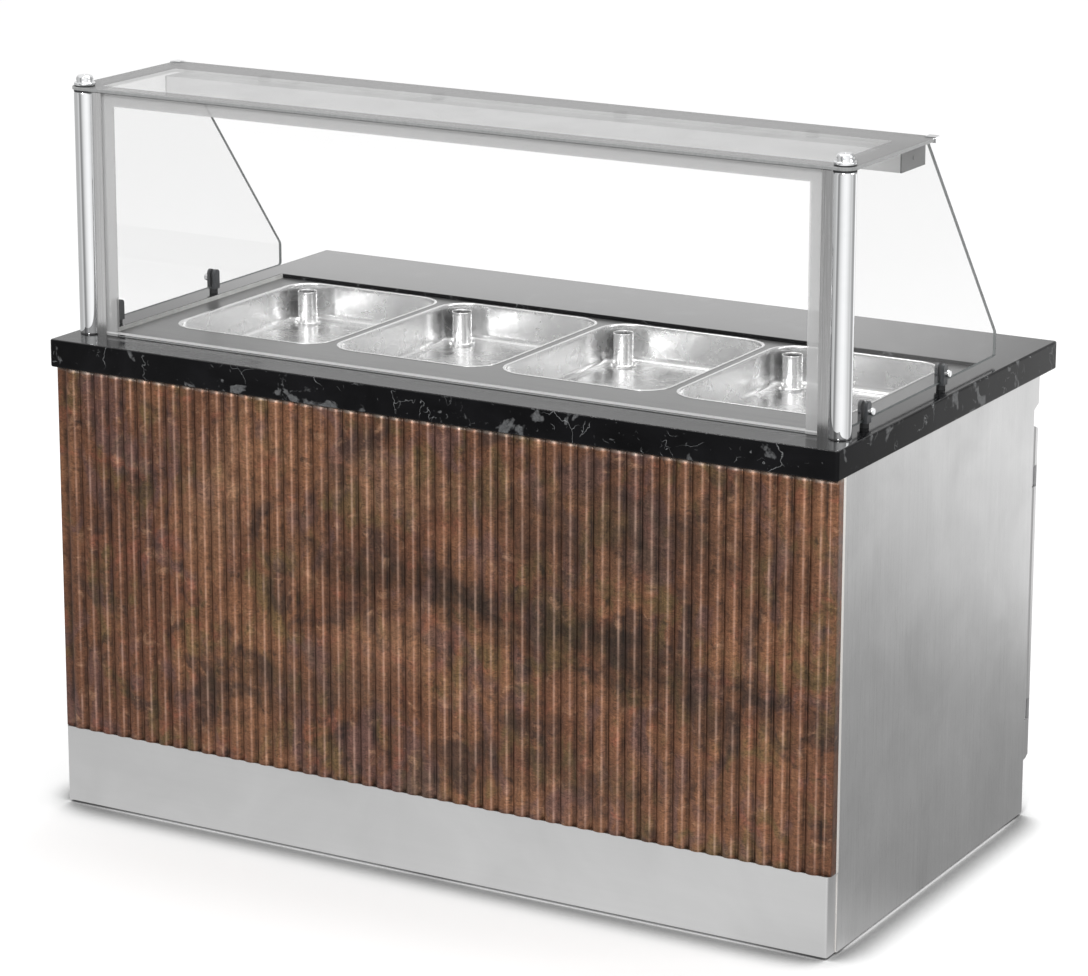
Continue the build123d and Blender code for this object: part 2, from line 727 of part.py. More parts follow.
def make_controls():
    bodies = []
    lenses = []
    for number, x in enumerate(knob_centres(), 1):
        half = thermostat_body_width / 2
        high = thermostat_body_height / 2
        body = block(x - half, x + half, control_face_inner_y - thermostat_body_depth, control_face_inner_y,
                     control_z - high, control_z + high)
        body += rod_y(x, control_z, thermostat_shaft_radius, control_face_inner_y, face_y + knob_depth / 2)
        bodies.append(body)

        start = face_y + knob_gap
        knob = rod_y(x, control_z, knob_radius, start, start + knob_depth)
        knob = fillet(knob.faces().sort_by(Axis.Y)[-1].edges(), knob_edge_radius)
        grip_half = knob_radius - knob_grip_inset
        knob += block(x - knob_grip_width / 2, x + knob_grip_width / 2, start + knob_depth - knob_edge_radius,
                      start + knob_depth + knob_grip_depth, control_z - grip_half, control_z + grip_half)
        knob -= rod_y(x, control_z, thermostat_shaft_radius + running_fit, start - 1,
                      face_y + knob_depth / 2 + 1)
        save(f"thermostat_knob_{number}", knob)

        lens = rod_y(x + lamp_lens_offset, control_z, lamp_lens_radius,
                     control_face_inner_y - lamp_body_depth, face_y)
        lens += rod_y(x + lamp_lens_offset, control_z, lamp_lens_radius + lamp_lens_flange,
                      face_y, face_y + lamp_lens_proud)
        lenses.append(lens)
    save("thermostats", bodies)
    save("pilot_lamps", lenses)

    frames = []
    pivot_y = face_y - rocker_pivot_depth
    for name, x in zip(("power_rocker", "lamp_rocker"), rocker_places()):
        half = rocker_length / 2
        high = rocker_width / 2
        margin = rocker_frame_margin
        frame = block(x - half - margin, x + half + margin, face_y, face_y + rocker_frame_thickness,
                      control_z - high - margin, control_z + high + margin)
        frame += block(x - half - margin / 2, x + half + margin / 2, face_y - rocker_frame_depth, face_y,
                       control_z - high - margin / 2, control_z + high + margin / 2)
        frame -= block(x - half - rocker_clearance, x + half + rocker_clearance,
                       face_y - rocker_frame_depth + sheet, face_y + rocker_frame_thickness + 1,
                       control_z - high - rocker_clearance, control_z + high + rocker_clearance)
        frame += rod_z(x, pivot_y, rocker_pivot_radius, control_z - high - 1, control_z + high + 1)
        frames.append(frame)

        section = make_face(Polyline(rocker_outline(), close=True))
        place = Pos(x, pivot_y, control_z - high) * Rot(0, 0, rocker_tilt)
        rocker = extrude(place * section, rocker_width, dir=(0, 0, 1))
        rocker -= rod_z(x, pivot_y, rocker_pivot_radius + running_fit, control_z - high - 1,
                        control_z + high + 1)
        save(name, rocker)
    save("switch_frames", frames)


def door_spans():
    """Low end, high end and hinged side of each door."""
    outer = half_body
    inner = door_centre_gap / 2
    width = (outer - inner - door_meeting_gap) / 2
    left = [(-outer, -outer + width, -1), (-inner - width, -inner, 1)]
    right = [(inner, inner + width, -1), (outer - width, outer, 1)]
    return left + right


def hinge_x(span):
    low, high, side = span
    return high - hinge_inset if side > 0 else low + hinge_inset


def hinge_heights():
    return [door_bottom_outer_z + hinge_from_end, door_top_outer_z - hinge_from_end - hinge_height]


def door_form(span, inset, inner_y):
    """Door prism with its edge rounded about the hinge line, on the side that turns in."""
    low, high, side = span
    points = [(inner_y, door_bottom_inner_z + inset), (door_outer_y - inset, door_bottom_outer_z + inset),
              (door_outer_y - inset, door_top_outer_z - inset), (inner_y, door_top_inner_z - inset)]
    form = profile_along_x(points, low + inset, high - inset)
    x = hinge_x(span)
    edge = x + side * (hinge_inset + 1)
    corner = block(x, edge, inner_y - 1, hinge_y, door_bottom_inner_z - 1, door_top_inner_z + 1)
    corner -= rod_z(x, hinge_y, hinge_inset - inset, door_bottom_inner_z - 2, door_top_inner_z + 2)
    return form - corner


# Folded steel doors, each a tray with a liner let into its back
def make_doors():
    blocks = []
    pins = []
    for number, span in enumerate(door_spans(), 1):
        low, high, side = span
        x = hinge_x(span)
        cavity = door_form(span, door_sheet, door_inner_y - 1)
        skin = door_form(span, 0, door_inner_y) - cavity
        notch_inner = x - side * (hinge_notch_width - hinge_inset)
        notch_outer = x + side * (hinge_inset + 1)
        liner = block(low + door_sheet, high - door_sheet, door_inner_y, door_inner_y + door_sheet,
                      door_bottom_inner_z + door_liner_inset, door_top_inner_z - door_liner_inset)
        cut = block(x - side * hinge_notch_width, notch_outer, door_inner_y - 1, door_outer_y - door_sheet,
                    door_bottom_inner_z - 1, door_top_inner_z + 1)
        liner -= cut
        for z in hinge_heights():
            boss_low = z - hinge_notch_clearance - hinge_boss_height
            boss_high = z + hinge_height + hinge_notch_clearance + hinge_boss_height
            boss = block(x - side * (hinge_notch_width - hinge_inset), x + side * hinge_inset, door_inner_y,
                         door_outer_y - door_sheet, boss_low, boss_high)
            skin += boss & door_form(span, 0, door_inner_y)
            skin -= block(notch_inner, notch_outer, door_inner_y - 1, door_outer_y - door_sheet,
                          z - hinge_notch_clearance, z + hinge_height + hinge_notch_clearance)
            skin -= rod_z(x, hinge_y, hinge_pin_radius + running_fit, boss_low + hinge_bore_margin,
                          boss_high - hinge_bore_margin)

            arm = block(x - hinge_arm_width / 2, x + hinge_arm_width / 2, body_rear, hinge_y,
                        z, z + hinge_height)
            knuckle = arm + rod_z(x, hinge_y, hinge_barrel_radius, z, z + hinge_height)
            knuckle -= rod_z(x, hinge_y, hinge_pin_radius, z - 1, z + hinge_height + 1)
            blocks.append(knuckle)
            pins.append(rod_z(x, hinge_y, hinge_pin_radius, boss_low + hinge_pin_margin,
                              boss_high - hinge_pin_margin))
        save(f"door_{number}", [skin, liner])
    save("door_hinges", blocks + pins)

    magnets = []
    for meeting in (-1, 1):
        x = meeting * (half_body + door_centre_gap / 2) / 2
        top = header_sheet_bottom_z
        magnets.append(block(x - magnet_length, x + magnet_length, cabinet_rear_y - magnet_depth, body_rear,
                             top - magnet_height, top))
    save("door_magnets", magnets)


# Posts, caps and their fixings
def make_posts():
    posts = []
    fixings = []
    caps = []
    plug_radius = post_radius - post_wall
    for x in (-post_x, post_x):
        post = rod_z(x, post_y, post_radius, marble_top_z, post_top_z)
        post -= rod_z(x, post_y, plug_radius, marble_top_z - 1, post_top_z + 1)
        posts.append(post)
        foot = rod_z(x, post_y, plug_radius, marble_top_z, marble_top_z + post_plug_height)
        under = marble_bottom_z - rail_thickness
        foot += rod_z(x, post_y, post_stud_radius, under - post_nut_height, marble_top_z)
        foot += rod_z(x, post_y, post_nut_radius, under - post_nut_height, under)
        fixings.append(foot)
        head = rod_z(x, post_y, plug_radius, post_top_z - post_plug_height, post_top_z)
        stud_end_z = cap_base_z + cap_height / 2
        head += rod_z(x, post_y, post_stud_radius, post_top_z, stud_end_z)
        fixings.append(head)
        flange = rod_z(x, post_y, cap_flange_radius, cap_base_z, cap_base_z + cap_flange_height)
        flange = fillet(flange.faces().sort_by(Axis.Z)[-1].edges(), cap_flange_edge)
        dome = rod_z(x, post_y, cap_radius, cap_base_z, cap_base_z + cap_height)
        dome = fillet(dome.faces().sort_by(Axis.Z)[-1].edges(), cap_dome)
        caps.append(flange + dome - rod_z(x, post_y, post_stud_radius, cap_base_z - 1, stud_end_z))
    save("posts", posts)
    save("post_fixings", fixings)
    save("post_caps", caps)


def make_channels():
    channels = []
    for side in (-1, 1):
        inner = side * channel_inner_x
        channel = block(inner, side * post_x, post_y - channel_width / 2, post_y + channel_width / 2,
                        marble_top_z, post_top_z)
        channel -= rod_z(side * post_x, post_y, post_radius, marble_top_z - 1, post_top_z + 1)
        half = glass_thickness / 2 + channel_glass_gap
        channel -= block(inner - side, inner + side * channel_groove_depth, post_y - half, post_y + half,
                         marble_top_z - 1, post_top_z + 1)
        channels.append(channel.solids().sort_by(Axis.X)[0 if side > 0 else -1])
    save("glass_channels", channels)


# Glass panes
def make_glass():
    half = glass_thickness / 2
    reach = channel_inner_x + channel_groove_depth - channel_glass_gap
    save("front_glass", block(-reach, reach, post_y - half, post_y + half, marble_top_z, post_top_z))

    x = top_glass_half_length
    pane = block(-x, x, top_glass_front, top_glass_rear, glass_under_z, glass_top_z)
    upright = pane.edges().filter_by(Axis.Z).sort_by(Axis.Y)
    pane = fillet(upright[:2], top_glass_front_radius)
    rear = pane.edges().filter_by(Axis.Z).sort_by(Axis.Y)[-2:]
    pane = fillet(rear, top_glass_rear_radius)
    for hole_x in (-post_x, post_x):
        pane -= rod_z(hole_x, post_y, top_glass_hole_radius, glass_under_z - 1, glass_top_z + 1)
    save("top_glass", pane)

    points = [(side_glass_front, side_glass_bottom_z), (side_glass_rear, side_glass_bottom_z),
              (side_glass_rear, side_glass_kink_z), (side_glass_top_rear, glass_under_z),
              (side_glass_front, glass_under_z)]
    side = profile_along_x(points, side_glass_x - half, side_glass_x + half)
    save("side_glasses", mirrored(side))


def lamp_pad_centres():
    """Middles of the pads that hold the lamp under the top glass."""
    spacing = 2 * (lamp_half_length - lamp_cap_thickness) / lamp_pad_count
    y = (lamp_front + lamp_rear) / 2
    return [((index - (lamp_pad_count - 1) / 2) * spacing, y) for index in range(lamp_pad_count)]


# Rubber: gaskets under and over the top pane at each post, the strip between the panes, the feet of the
# clips and the lamp's pads
def make_rubbers():
    rubbers = []
    for x in (-post_x, post_x):
        gasket = rod_z(x, post_y, post_radius, post_top_z, glass_under_z)
        gasket -= rod_z(x, post_y, post_stud_radius, post_top_z - 1, glass_under_z + 1)
        washer = rod_z(x, post_y, cap_gasket_radius, glass_top_z, cap_base_z)
        washer -= rod_z(x, post_y, post_stud_radius, glass_top_z - 1, cap_base_z + 1)
        rubbers += [gasket, washer]
    reach = channel_inner_x + channel_groove_depth
    half = glass_thickness / 2
    rubbers.append(block(-reach, reach, post_y - half, post_y + half, post_top_z, glass_under_z))
    for x in (-side_glass_x, side_glass_x):
        for y in (clip_front_y, clip_rear_y):
            rubbers.append(rod_z(x, y, clip_foot_radius, marble_top_z, marble_top_z + clip_foot_height))
    for x, y in lamp_pad_centres():
        rubbers.append(rod_z(x, y, lamp_pad_radius, lamp_top_z, glass_under_z))
    save("rubber_pads", rubbers)


def make_clips():
    bodies = []
    screws = []
    glass_half = glass_thickness / 2
    for side in (-1, 1):
        for y in (clip_front_y, clip_rear_y):
            x = side * side_glass_x
            low = marble_top_z + clip_foot_height
            body = block(x - clip_half_width, x + clip_half_width, y - clip_thickness / 2,
                         y + clip_thickness / 2, low, clip_top_z - clip_thickness / 2)
            body += rod_x(y, clip_top_z - clip_thickness / 2, clip_thickness / 2,
                          x - clip_half_width, x + clip_half_width)
            body -= block(x - glass_half, x + glass_half, y - clip_thickness, y + clip_thickness,
                          side_glass_bottom_z, clip_top_z + 1)
            bodies.append(body)
            start = x + side * clip_half_width
            end = start + side * clip_screw_length
            screw = rod_x(y, clip_screw_z, clip_screw_radius, min(start, end), max(start, end))
            face = screw.faces().sort_by(Axis.X)[-1 if side > 0 else 0]
            screws.append(fillet(face.edges(), clip_screw_radius / 3))
    save("glass_clips", bodies)
    save("clip_screws", screws)


def make_brackets():
    outer = top_glass_half_length + bracket_plate
    rear = top_glass_rear + bracket_plate
    inner = side_glass_x + glass_thickness / 2 + bracket_plate / 2

    def jaw(from_x, z):
        plate = block(from_x, outer, rear - bracket_size, rear, z, z + bracket_plate)
        corner = plate.edges().filter_by(Axis.Z).sort_by(lambda edge: edge.center().X + edge.center().Y)[-1]
        return fillet(corner, bracket_corner_radius)

    bracket = jaw(outer - bracket_size, glass_top_z) + jaw(inner, glass_under_z - bracket_plate)
    bracket += block(top_glass_half_length, outer, rear - bracket_size, rear - bracket_corner_radius,
                     glass_under_z - bracket_plate, glass_top_z + bracket_plate)
    save("corner_brackets", mirrored(bracket))


# Lamp: an open channel with a light strip and a diffuser, hung from the top glass on the rubber pads
def make_lamp():
    body_half = lamp_half_length - lamp_cap_thickness
    housing = block(-body_half, body_half, lamp_front, lamp_rear, lamp_bottom_z, lamp_top_z)
    housing -= block(-body_half - 1, body_half + 1, lamp_front + lamp_wall, lamp_rear - lamp_wall,
                     lamp_bottom_z + lamp_wall, lamp_top_z - lamp_wall)
    housing -= block(-body_half - 1, body_half + 1, lamp_front + lamp_wall + diffuser_lip,
                     lamp_rear - lamp_wall - diffuser_lip, lamp_bottom_z - 1, lamp_bottom_z + lamp_wall + 1)
    save("lamp_housing", housing)

    caps = []
    for side in (-1, 1):
        cap = block(side * body_half, side * lamp_half_length, lamp_front, lamp_rear, lamp_bottom_z, lamp_top_z)
        middle_y = (lamp_front + lamp_rear) / 2
        middle_z = (lamp_bottom_z + lamp_top_z) / 2
        start = side * lamp_half_length
        end = start + side * lamp_cap_screw_head
        cap += rod_x(middle_y, middle_z, lamp_cap_screw_radius, min(start, end), max(start, end))
        caps.append(cap)
    save("lamp_end_caps", caps)

    diffuser = block(-body_half, body_half, lamp_front + lamp_wall, lamp_rear - lamp_wall,
                     lamp_bottom_z + lamp_wall, lamp_bottom_z + lamp_wall + diffuser_thickness)
    save("lamp_diffuser", diffuser)

    middle = (lamp_front + lamp_rear) / 2
    board = block(-body_half, body_half, middle - led_board_width / 2, middle + led_board_width / 2,
                  lamp_top_z - lamp_wall - led_board_thickness, lamp_top_z - lamp_wall)
    save("led_strip", board)


os.makedirs("parts", exist_ok=True)
make_marble()
make_deck()
make_tanks()
make_standpipes()
make_sockets()
make_manifold()
make_valve()
make_heaters()
make_top_frame()
make_uprights()
make_base()
make_cabinet()
make_side_panels()
make_front()
make_plinths()
make_control_box()
make_controls()
make_doors()
make_posts()
make_channels()
make_glass()
make_rubbers()
make_clips()
make_brackets()
make_lamp()
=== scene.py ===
import json
import math
import bpy
import numpy as np
from mathutils import Matrix, Vector


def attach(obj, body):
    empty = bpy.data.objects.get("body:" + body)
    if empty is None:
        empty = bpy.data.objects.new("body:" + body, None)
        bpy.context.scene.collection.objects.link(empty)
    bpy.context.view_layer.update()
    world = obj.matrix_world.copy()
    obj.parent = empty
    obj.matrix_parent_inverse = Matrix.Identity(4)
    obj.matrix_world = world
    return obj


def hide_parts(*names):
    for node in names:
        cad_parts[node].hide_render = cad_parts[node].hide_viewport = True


# Bain marie counter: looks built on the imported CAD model.
# Metres, +Z up, the customer's side faces -Y, the origin is the middle of the footprint on the floor.
# The dictionaries give millimetres unless they say otherwise, and y from the marble's front edge.

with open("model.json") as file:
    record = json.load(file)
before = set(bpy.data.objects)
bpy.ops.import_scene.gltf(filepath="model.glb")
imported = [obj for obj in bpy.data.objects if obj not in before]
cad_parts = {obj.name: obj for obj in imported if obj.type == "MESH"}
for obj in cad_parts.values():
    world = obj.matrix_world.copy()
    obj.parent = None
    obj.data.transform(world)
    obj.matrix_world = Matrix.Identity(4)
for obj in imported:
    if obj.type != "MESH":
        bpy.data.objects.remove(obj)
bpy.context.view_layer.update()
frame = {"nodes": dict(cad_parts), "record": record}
nodes = frame["nodes"]
halfDepth = 462.5   # from the marble's front edge to the origin


def mm(value):
    return value / 1000


# a distance behind the marble's front edge as y in metres
def frontY(value):
    return mm(value) - mm(halfDepth)


# points counted from the marble's front edge, moved to the origin, in metres
def toFrame(points):
    return points / 1000 - [0, mm(halfDepth), 0]


# Surfaces: grids of points worked out as whole arrays.

# square faces between neighbours of a grid, which may close on itself in either direction
def gridFaces(rows, columns, wrapRows=False, wrapColumns=False):
    i = np.arange(rows if wrapRows else rows - 1)
    j = np.arange(columns if wrapColumns else columns - 1)
    a, b = np.meshgrid(i, j, indexing="ij")
    c, d = (a + 1) % rows, (b + 1) % columns
    return np.stack([a * columns + b, c * columns + b, c * columns + d, a * columns + d], -1).reshape(-1, 4)


# six times the volume of a closed surface: positive where its faces point outwards
def signedVolume(points, faces):
    p = points[faces]
    first = np.einsum("ij,ij->i", p[:, 0], np.cross(p[:, 1], p[:, 2]))
    second = np.einsum("ij,ij->i", p[:, 0], np.cross(p[:, 2], p[:, 3]))
    return float((first + second).sum())


def meshObject(name, points, faces, smooth=True):
    mesh = bpy.data.meshes.new(name)
    mesh.from_pydata(np.asarray(points).reshape(-1, 3).tolist(), [], [list(map(int, f)) for f in faces])
    mesh.update()
    mesh.polygons.foreach_set("use_smooth", [smooth] * len(mesh.polygons))
    made = bpy.data.objects.new(name, mesh)
    bpy.context.scene.collection.objects.link(made)
    return made


# a surface on a grid of points: closed turns the faces outwards where the surface shuts
def gridObject(name, points, wrapRows=False, wrapColumns=False, closed=False):
    rows, columns = points.shape[:2]
    faces = gridFaces(rows, columns, wrapRows, wrapColumns)
    flat = points.reshape(-1, 3)
    if closed and signedVolume(flat, faces) < 0:
        faces = faces[:, ::-1]
    return meshObject(name, flat, faces)


# centre plus radius times (cos, sin) of the angles between start and end
def arc(centre, radius, startDegrees, endDegrees, count):
    t = np.radians(np.linspace(startDegrees, endDegrees, count))
    return np.stack([centre[0] + radius * np.cos(t), centre[1] + radius * np.sin(t)], -1)


# a closed (radius, height) profile turned about an upright axis: (r cos t, r sin t, h),
# round the point at, which is in metres
def turned(name, profile, at, sides):
    profile = np.asarray(profile, float) / 1000
    t = np.linspace(0, 2 * np.pi, sides, endpoint=False)
    r, h = profile[:, 0][:, None], profile[:, 1][:, None]
    points = np.stack([r * np.cos(t), r * np.sin(t), np.broadcast_to(h, (len(profile), sides))], -1)
    return gridObject(name, points + np.asarray(at), wrapRows=True, wrapColumns=True, closed=True)


# several mesh objects as one piece, materials kept
def joined(name, pieces):
    bpy.ops.object.select_all(action="DESELECT")
    for piece in pieces:
        piece.select_set(True)
    bpy.context.view_layer.objects.active = pieces[0]
    bpy.ops.object.join()
    pieces[0].name = pieces[0].data.name = name
    return pieces[0]


# a convex outline with each corner rounded: the arc touches both sides at radius / tan(half angle)
def roundedOutline(corners, radii, steps=10):
    corners = np.asarray(corners, float)
    out = []
    for k, (p, radius) in enumerate(zip(corners, radii)):
        before, after = corners[k - 1] - p, corners[(k + 1) % len(corners)] - p
        before, after = before / np.linalg.norm(before), after / np.linalg.norm(after)
        half = np.arccos(np.clip(before @ after, -1, 1)) / 2
        if radius <= 0:
            out.append(p[None])
            continue
        start, end = p + before * radius / np.tan(half), p + after * radius / np.tan(half)
        middle = p + (before + after) / np.linalg.norm(before + after) * radius / np.sin(half)
        a, b = start - middle, end - middle
        angle = np.arccos(np.clip(a @ b / radius ** 2, -1, 1))
        t = np.linspace(0, 1, steps)[:, None]
        out.append(middle + (np.sin((1 - t) * angle) * a + np.sin(t * angle) * b) / np.sin(angle))
    return np.concatenate(out)


# the corners of a convex outline, run anticlockwise: each side moves in by the distance,
# and the new corners are where neighbours cross
def insetCorners(corners, distance):
    p = np.asarray(corners, float)
    side = np.roll(p, -1, 0) - p
    normal = np.stack([-side[:, 1], side[:, 0]], -1) / np.linalg.norm(side, axis=1)[:, None]
    moved, before = p + normal * distance, np.roll(p + normal * distance, 1, 0)
    sideBefore = np.roll(side, 1, 0)
    cross = sideBefore[:, 0] * side[:, 1] - sideBefore[:, 1] * side[:, 0]
    gap = moved - before
    t = (gap[:, 0] * side[:, 1] - gap[:, 1] * side[:, 0]) / cross
    return before + sideBefore * t[:, None]


# a flat plate between two levels of an axis, its edges eased: one material on the faces, one round the edge
def plate(name, corners, radii, low, high, axis, ease, faceMaterial, edgeMaterial):
    base = roundedOutline(corners, radii)
    small = roundedOutline(insetCorners(corners, ease), [max(r - ease, 0) for r in radii])
    count = len(base)
    points = []
    for outline, level in ((small, low), (base, low + ease), (base, high - ease), (small, high)):
        u, v, w = outline[:, 0], outline[:, 1], np.full(count, float(level))
        points.append(np.stack({"Z": (u, v, w), "Y": (u, w, v), "X": (w, u, v)}[axis], -1))
    points = np.concatenate(points) / 1000
    sides = gridFaces(4, count, wrapColumns=True)
    if signedVolume(points, sides) < 0:
        sides = sides[:, ::-1]
    caps = [list(range(count)), list(range(3 * count, 4 * count))]
    made = meshObject(name, points, [*sides.tolist(), *caps], False)
    middle = Vector(points.mean(0))
    for cap in made.data.polygons[-2:]:
        if (Vector(cap.center) - middle).dot(cap.normal) < 0:
            cap.flip()
    made.data.materials.append(faceMaterial)
    made.data.materials.append(edgeMaterial)
    made.data.polygons.foreach_set("material_index", [1] * len(sides) + [0, 0])
    return made


def place(piece, body, slotName, *replaced):
    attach(piece, body)
    if replaced:
        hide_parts(*replaced)
    return piece


# Materials.

# sRGB hex to linear values
def linear(colour):
    parts = [int(colour[k:k + 2], 16) / 255 for k in (1, 3, 5)]
    return [p / 12.92 if p <= .04045 else ((p + .055) / 1.055) ** 2.4 for p in parts] + [1]


def grey(value):
    return [value, value, value, 1]


# feeds a node's inputs by name or number: a value is set, a socket or a node's first output is linked
def connect(tree, node, inputs):
    for key, value in inputs.items() if isinstance(inputs, dict) else enumerate(inputs):
        if isinstance(value, bpy.types.Node):
            value = value.outputs[0]
        if isinstance(value, bpy.types.NodeSocket):
            tree.links.new(value, node.inputs[key])
        else:
            node.inputs[key].default_value = value
    return node


# one node with its settings and its inputs
def add(tree, kind, inputs=(), **settings):
    made = tree.nodes.new("ShaderNode" + kind)
    for key, value in settings.items():
        setattr(made, key, value)
    return connect(tree, made, inputs)


def newMaterial(name, **values):
    material = bpy.data.materials.new(name)
    material.use_nodes = True
    tree = material.node_tree
    return material, tree, connect(tree, tree.nodes["Principled BSDF"], values)


# a material with no shader yet, for panes and the studio's card
def bareMaterial(name):
    material = bpy.data.materials.new(name)
    material.use_nodes = True
    material.node_tree.nodes.clear()
    return material, material.node_tree


# an uneven field from 0 to 1 whose features measure sizes in mm, one number or three:
# noise of the piece's own point / size
def field(tree, sizes, detail=3, roughness=.5, distortion=0, shift=(0, 0, 0)):
    sizes = sizes if hasattr(sizes, "__len__") else (sizes,) * 3
    vector = add(tree, "Mapping", {"Vector": add(tree, "TexCoord").outputs["Object"],
                                   "Scale": [1000 / s for s in sizes], "Location": shift})
    return add(tree, "TexNoise", {"Vector": vector, "Scale": 1, "Detail": detail, "Roughness": roughness,
                                  "Distortion": distortion})


# the piece's own point pushed about by (noise - .5) times reach: scale in features per metre, reach in metres
def warpedPoint(tree, scale, reach):
    point = add(tree, "TexCoord").outputs["Object"]
    push = add(tree, "TexNoise", {"Vector": point, "Scale": scale, "Detail": 4, "Roughness": .65})
    centred = add(tree, "VectorMath", (push.outputs[1], (.5, .5, .5)), operation="SUBTRACT")
    return add(tree, "VectorMath", (centred, (reach,) * 3, point), operation="MULTIPLY_ADD")


# Stainless or aluminium sheet, brushed one way: fine parallel scratches, faint clouds from handling,
# soft reflections.
# The scratches are drawn .9 mm wide, far wider than real ones, so that they show.
def steelSheet(name, tone, grainAxis, roughness, grain, cloud):
    material, tree, shader = newMaterial(name, Metallic=1, Roughness=roughness)
    along = "XYZ".index(grainAxis)
    scratch, streak = [.9, .9, .9], [6, 6, 6]
    scratch[along], streak[along] = 120, 400
    fine = field(tree, scratch, 4, .6)
    broad = field(tree, streak, 2, .5, shift=(3, 1, 2))
    clouds = field(tree, 160, 3, .55, .6)
    scratches = add(tree, "MapRange", (fine, .3, .7, 1 - grain, 1 + grain))
    streaks = add(tree, "MapRange", (broad, .3, .7, -grain / 2, grain / 2))
    handling = add(tree, "MapRange", (clouds, .3, .7, -cloud, cloud))
    light = add(tree, "Math", (scratches, streaks), operation="ADD")
    light = add(tree, "Math", (light, handling), operation="ADD")
    shade = add(tree, "CombineColor", (light, light, light))
    colour = add(tree, "Mix", {0: 1, 6: linear(tone), 7: shade}, data_type="RGBA", blend_type="MULTIPLY")
    connect(tree, shader, {
        "Base Color": colour.outputs[2],
        "Roughness": add(tree, "MapRange", (fine, .25, .75, roughness - .07, roughness + .09)),
        "Normal": add(tree, "Bump", {"Height": fine, "Distance": mm(.02), "Strength": .35})})
    return material


# Polished, plated or cast metal: clear to blurred reflections by its roughness, a touch of dull film,
# and gentle waves where it was pressed or cast.
def polishedMetal(name, tone, roughness, wave=0, waveSize=90, stain=.03):
    material, tree, shader = newMaterial(name, Metallic=1, Roughness=roughness)
    film = field(tree, 45, 4, .6, .8)
    unmarked = linear(tone)
    stained = [max(v - stain, 0) for v in unmarked[:3]] + [1]
    share = add(tree, "MapRange", (film, .35, .7))
    colour = add(tree, "Mix", {0: share, 6: unmarked, 7: stained}, data_type="RGBA")
    connect(tree, shader, {
        "Base Color": colour.outputs[2],
        "Roughness": add(tree, "MapRange", (film, .3, .75, roughness * .7, roughness * 1.6))})
    if wave:
        slow = field(tree, waveSize, 2, .5, .4)
        relief = add(tree, "Bump", {"Height": slow, "Distance": mm(wave), "Strength": 1})
        connect(tree, shader, {"Normal": relief})
    return material


# Moulded plastic, rubber and board: fine grain and faint dulling, with a soft highlight.
def plastic(name, tone, roughness, texture=.03, textureSize=1.2):
    material, tree, shader = newMaterial(name, Roughness=roughness, IOR=1.46)
    dull = field(tree, 22, 3, .6)
    base = linear(tone)
    faded = [min(v * 1.22 + .004, 1) for v in base[:3]] + [1]
    share = add(tree, "MapRange", (dull, .35, .7))
    colour = add(tree, "Mix", {0: share, 6: base, 7: faded}, data_type="RGBA")
    grain = field(tree, textureSize, 2, .5)
    connect(tree, shader, {
        "Base Color": colour.outputs[2],
        "Roughness": add(tree, "MapRange", (dull, .3, .7, roughness - .05, roughness + .08)),
        "Normal": add(tree, "Bump", {"Height": grain, "Distance": mm(texture), "Strength": .5})})
    return material


# each vein: size of the cells it runs between, its width, where noise lets it show, its strength, its shift
marbleLook = {
    "black": "#080809", "ground": "#121214", "patch": "#666768", "vein": "#a9abac",
    "patchSize": 60, "patchFrom": .605, "chipSize": 15, "chipFrom": .685,
    "roughness": .13, "honed": .32, "ior": 1.55,
    "shine": (.06, .5),   # specular level on the edges and on the top
    "veins": [(150, .8, .52, .5, (0, 0, 0)), (66, .6, .57, .42, (3, 5, 1)), (30, .5, .62, .4, (7, 2, 4))],
}


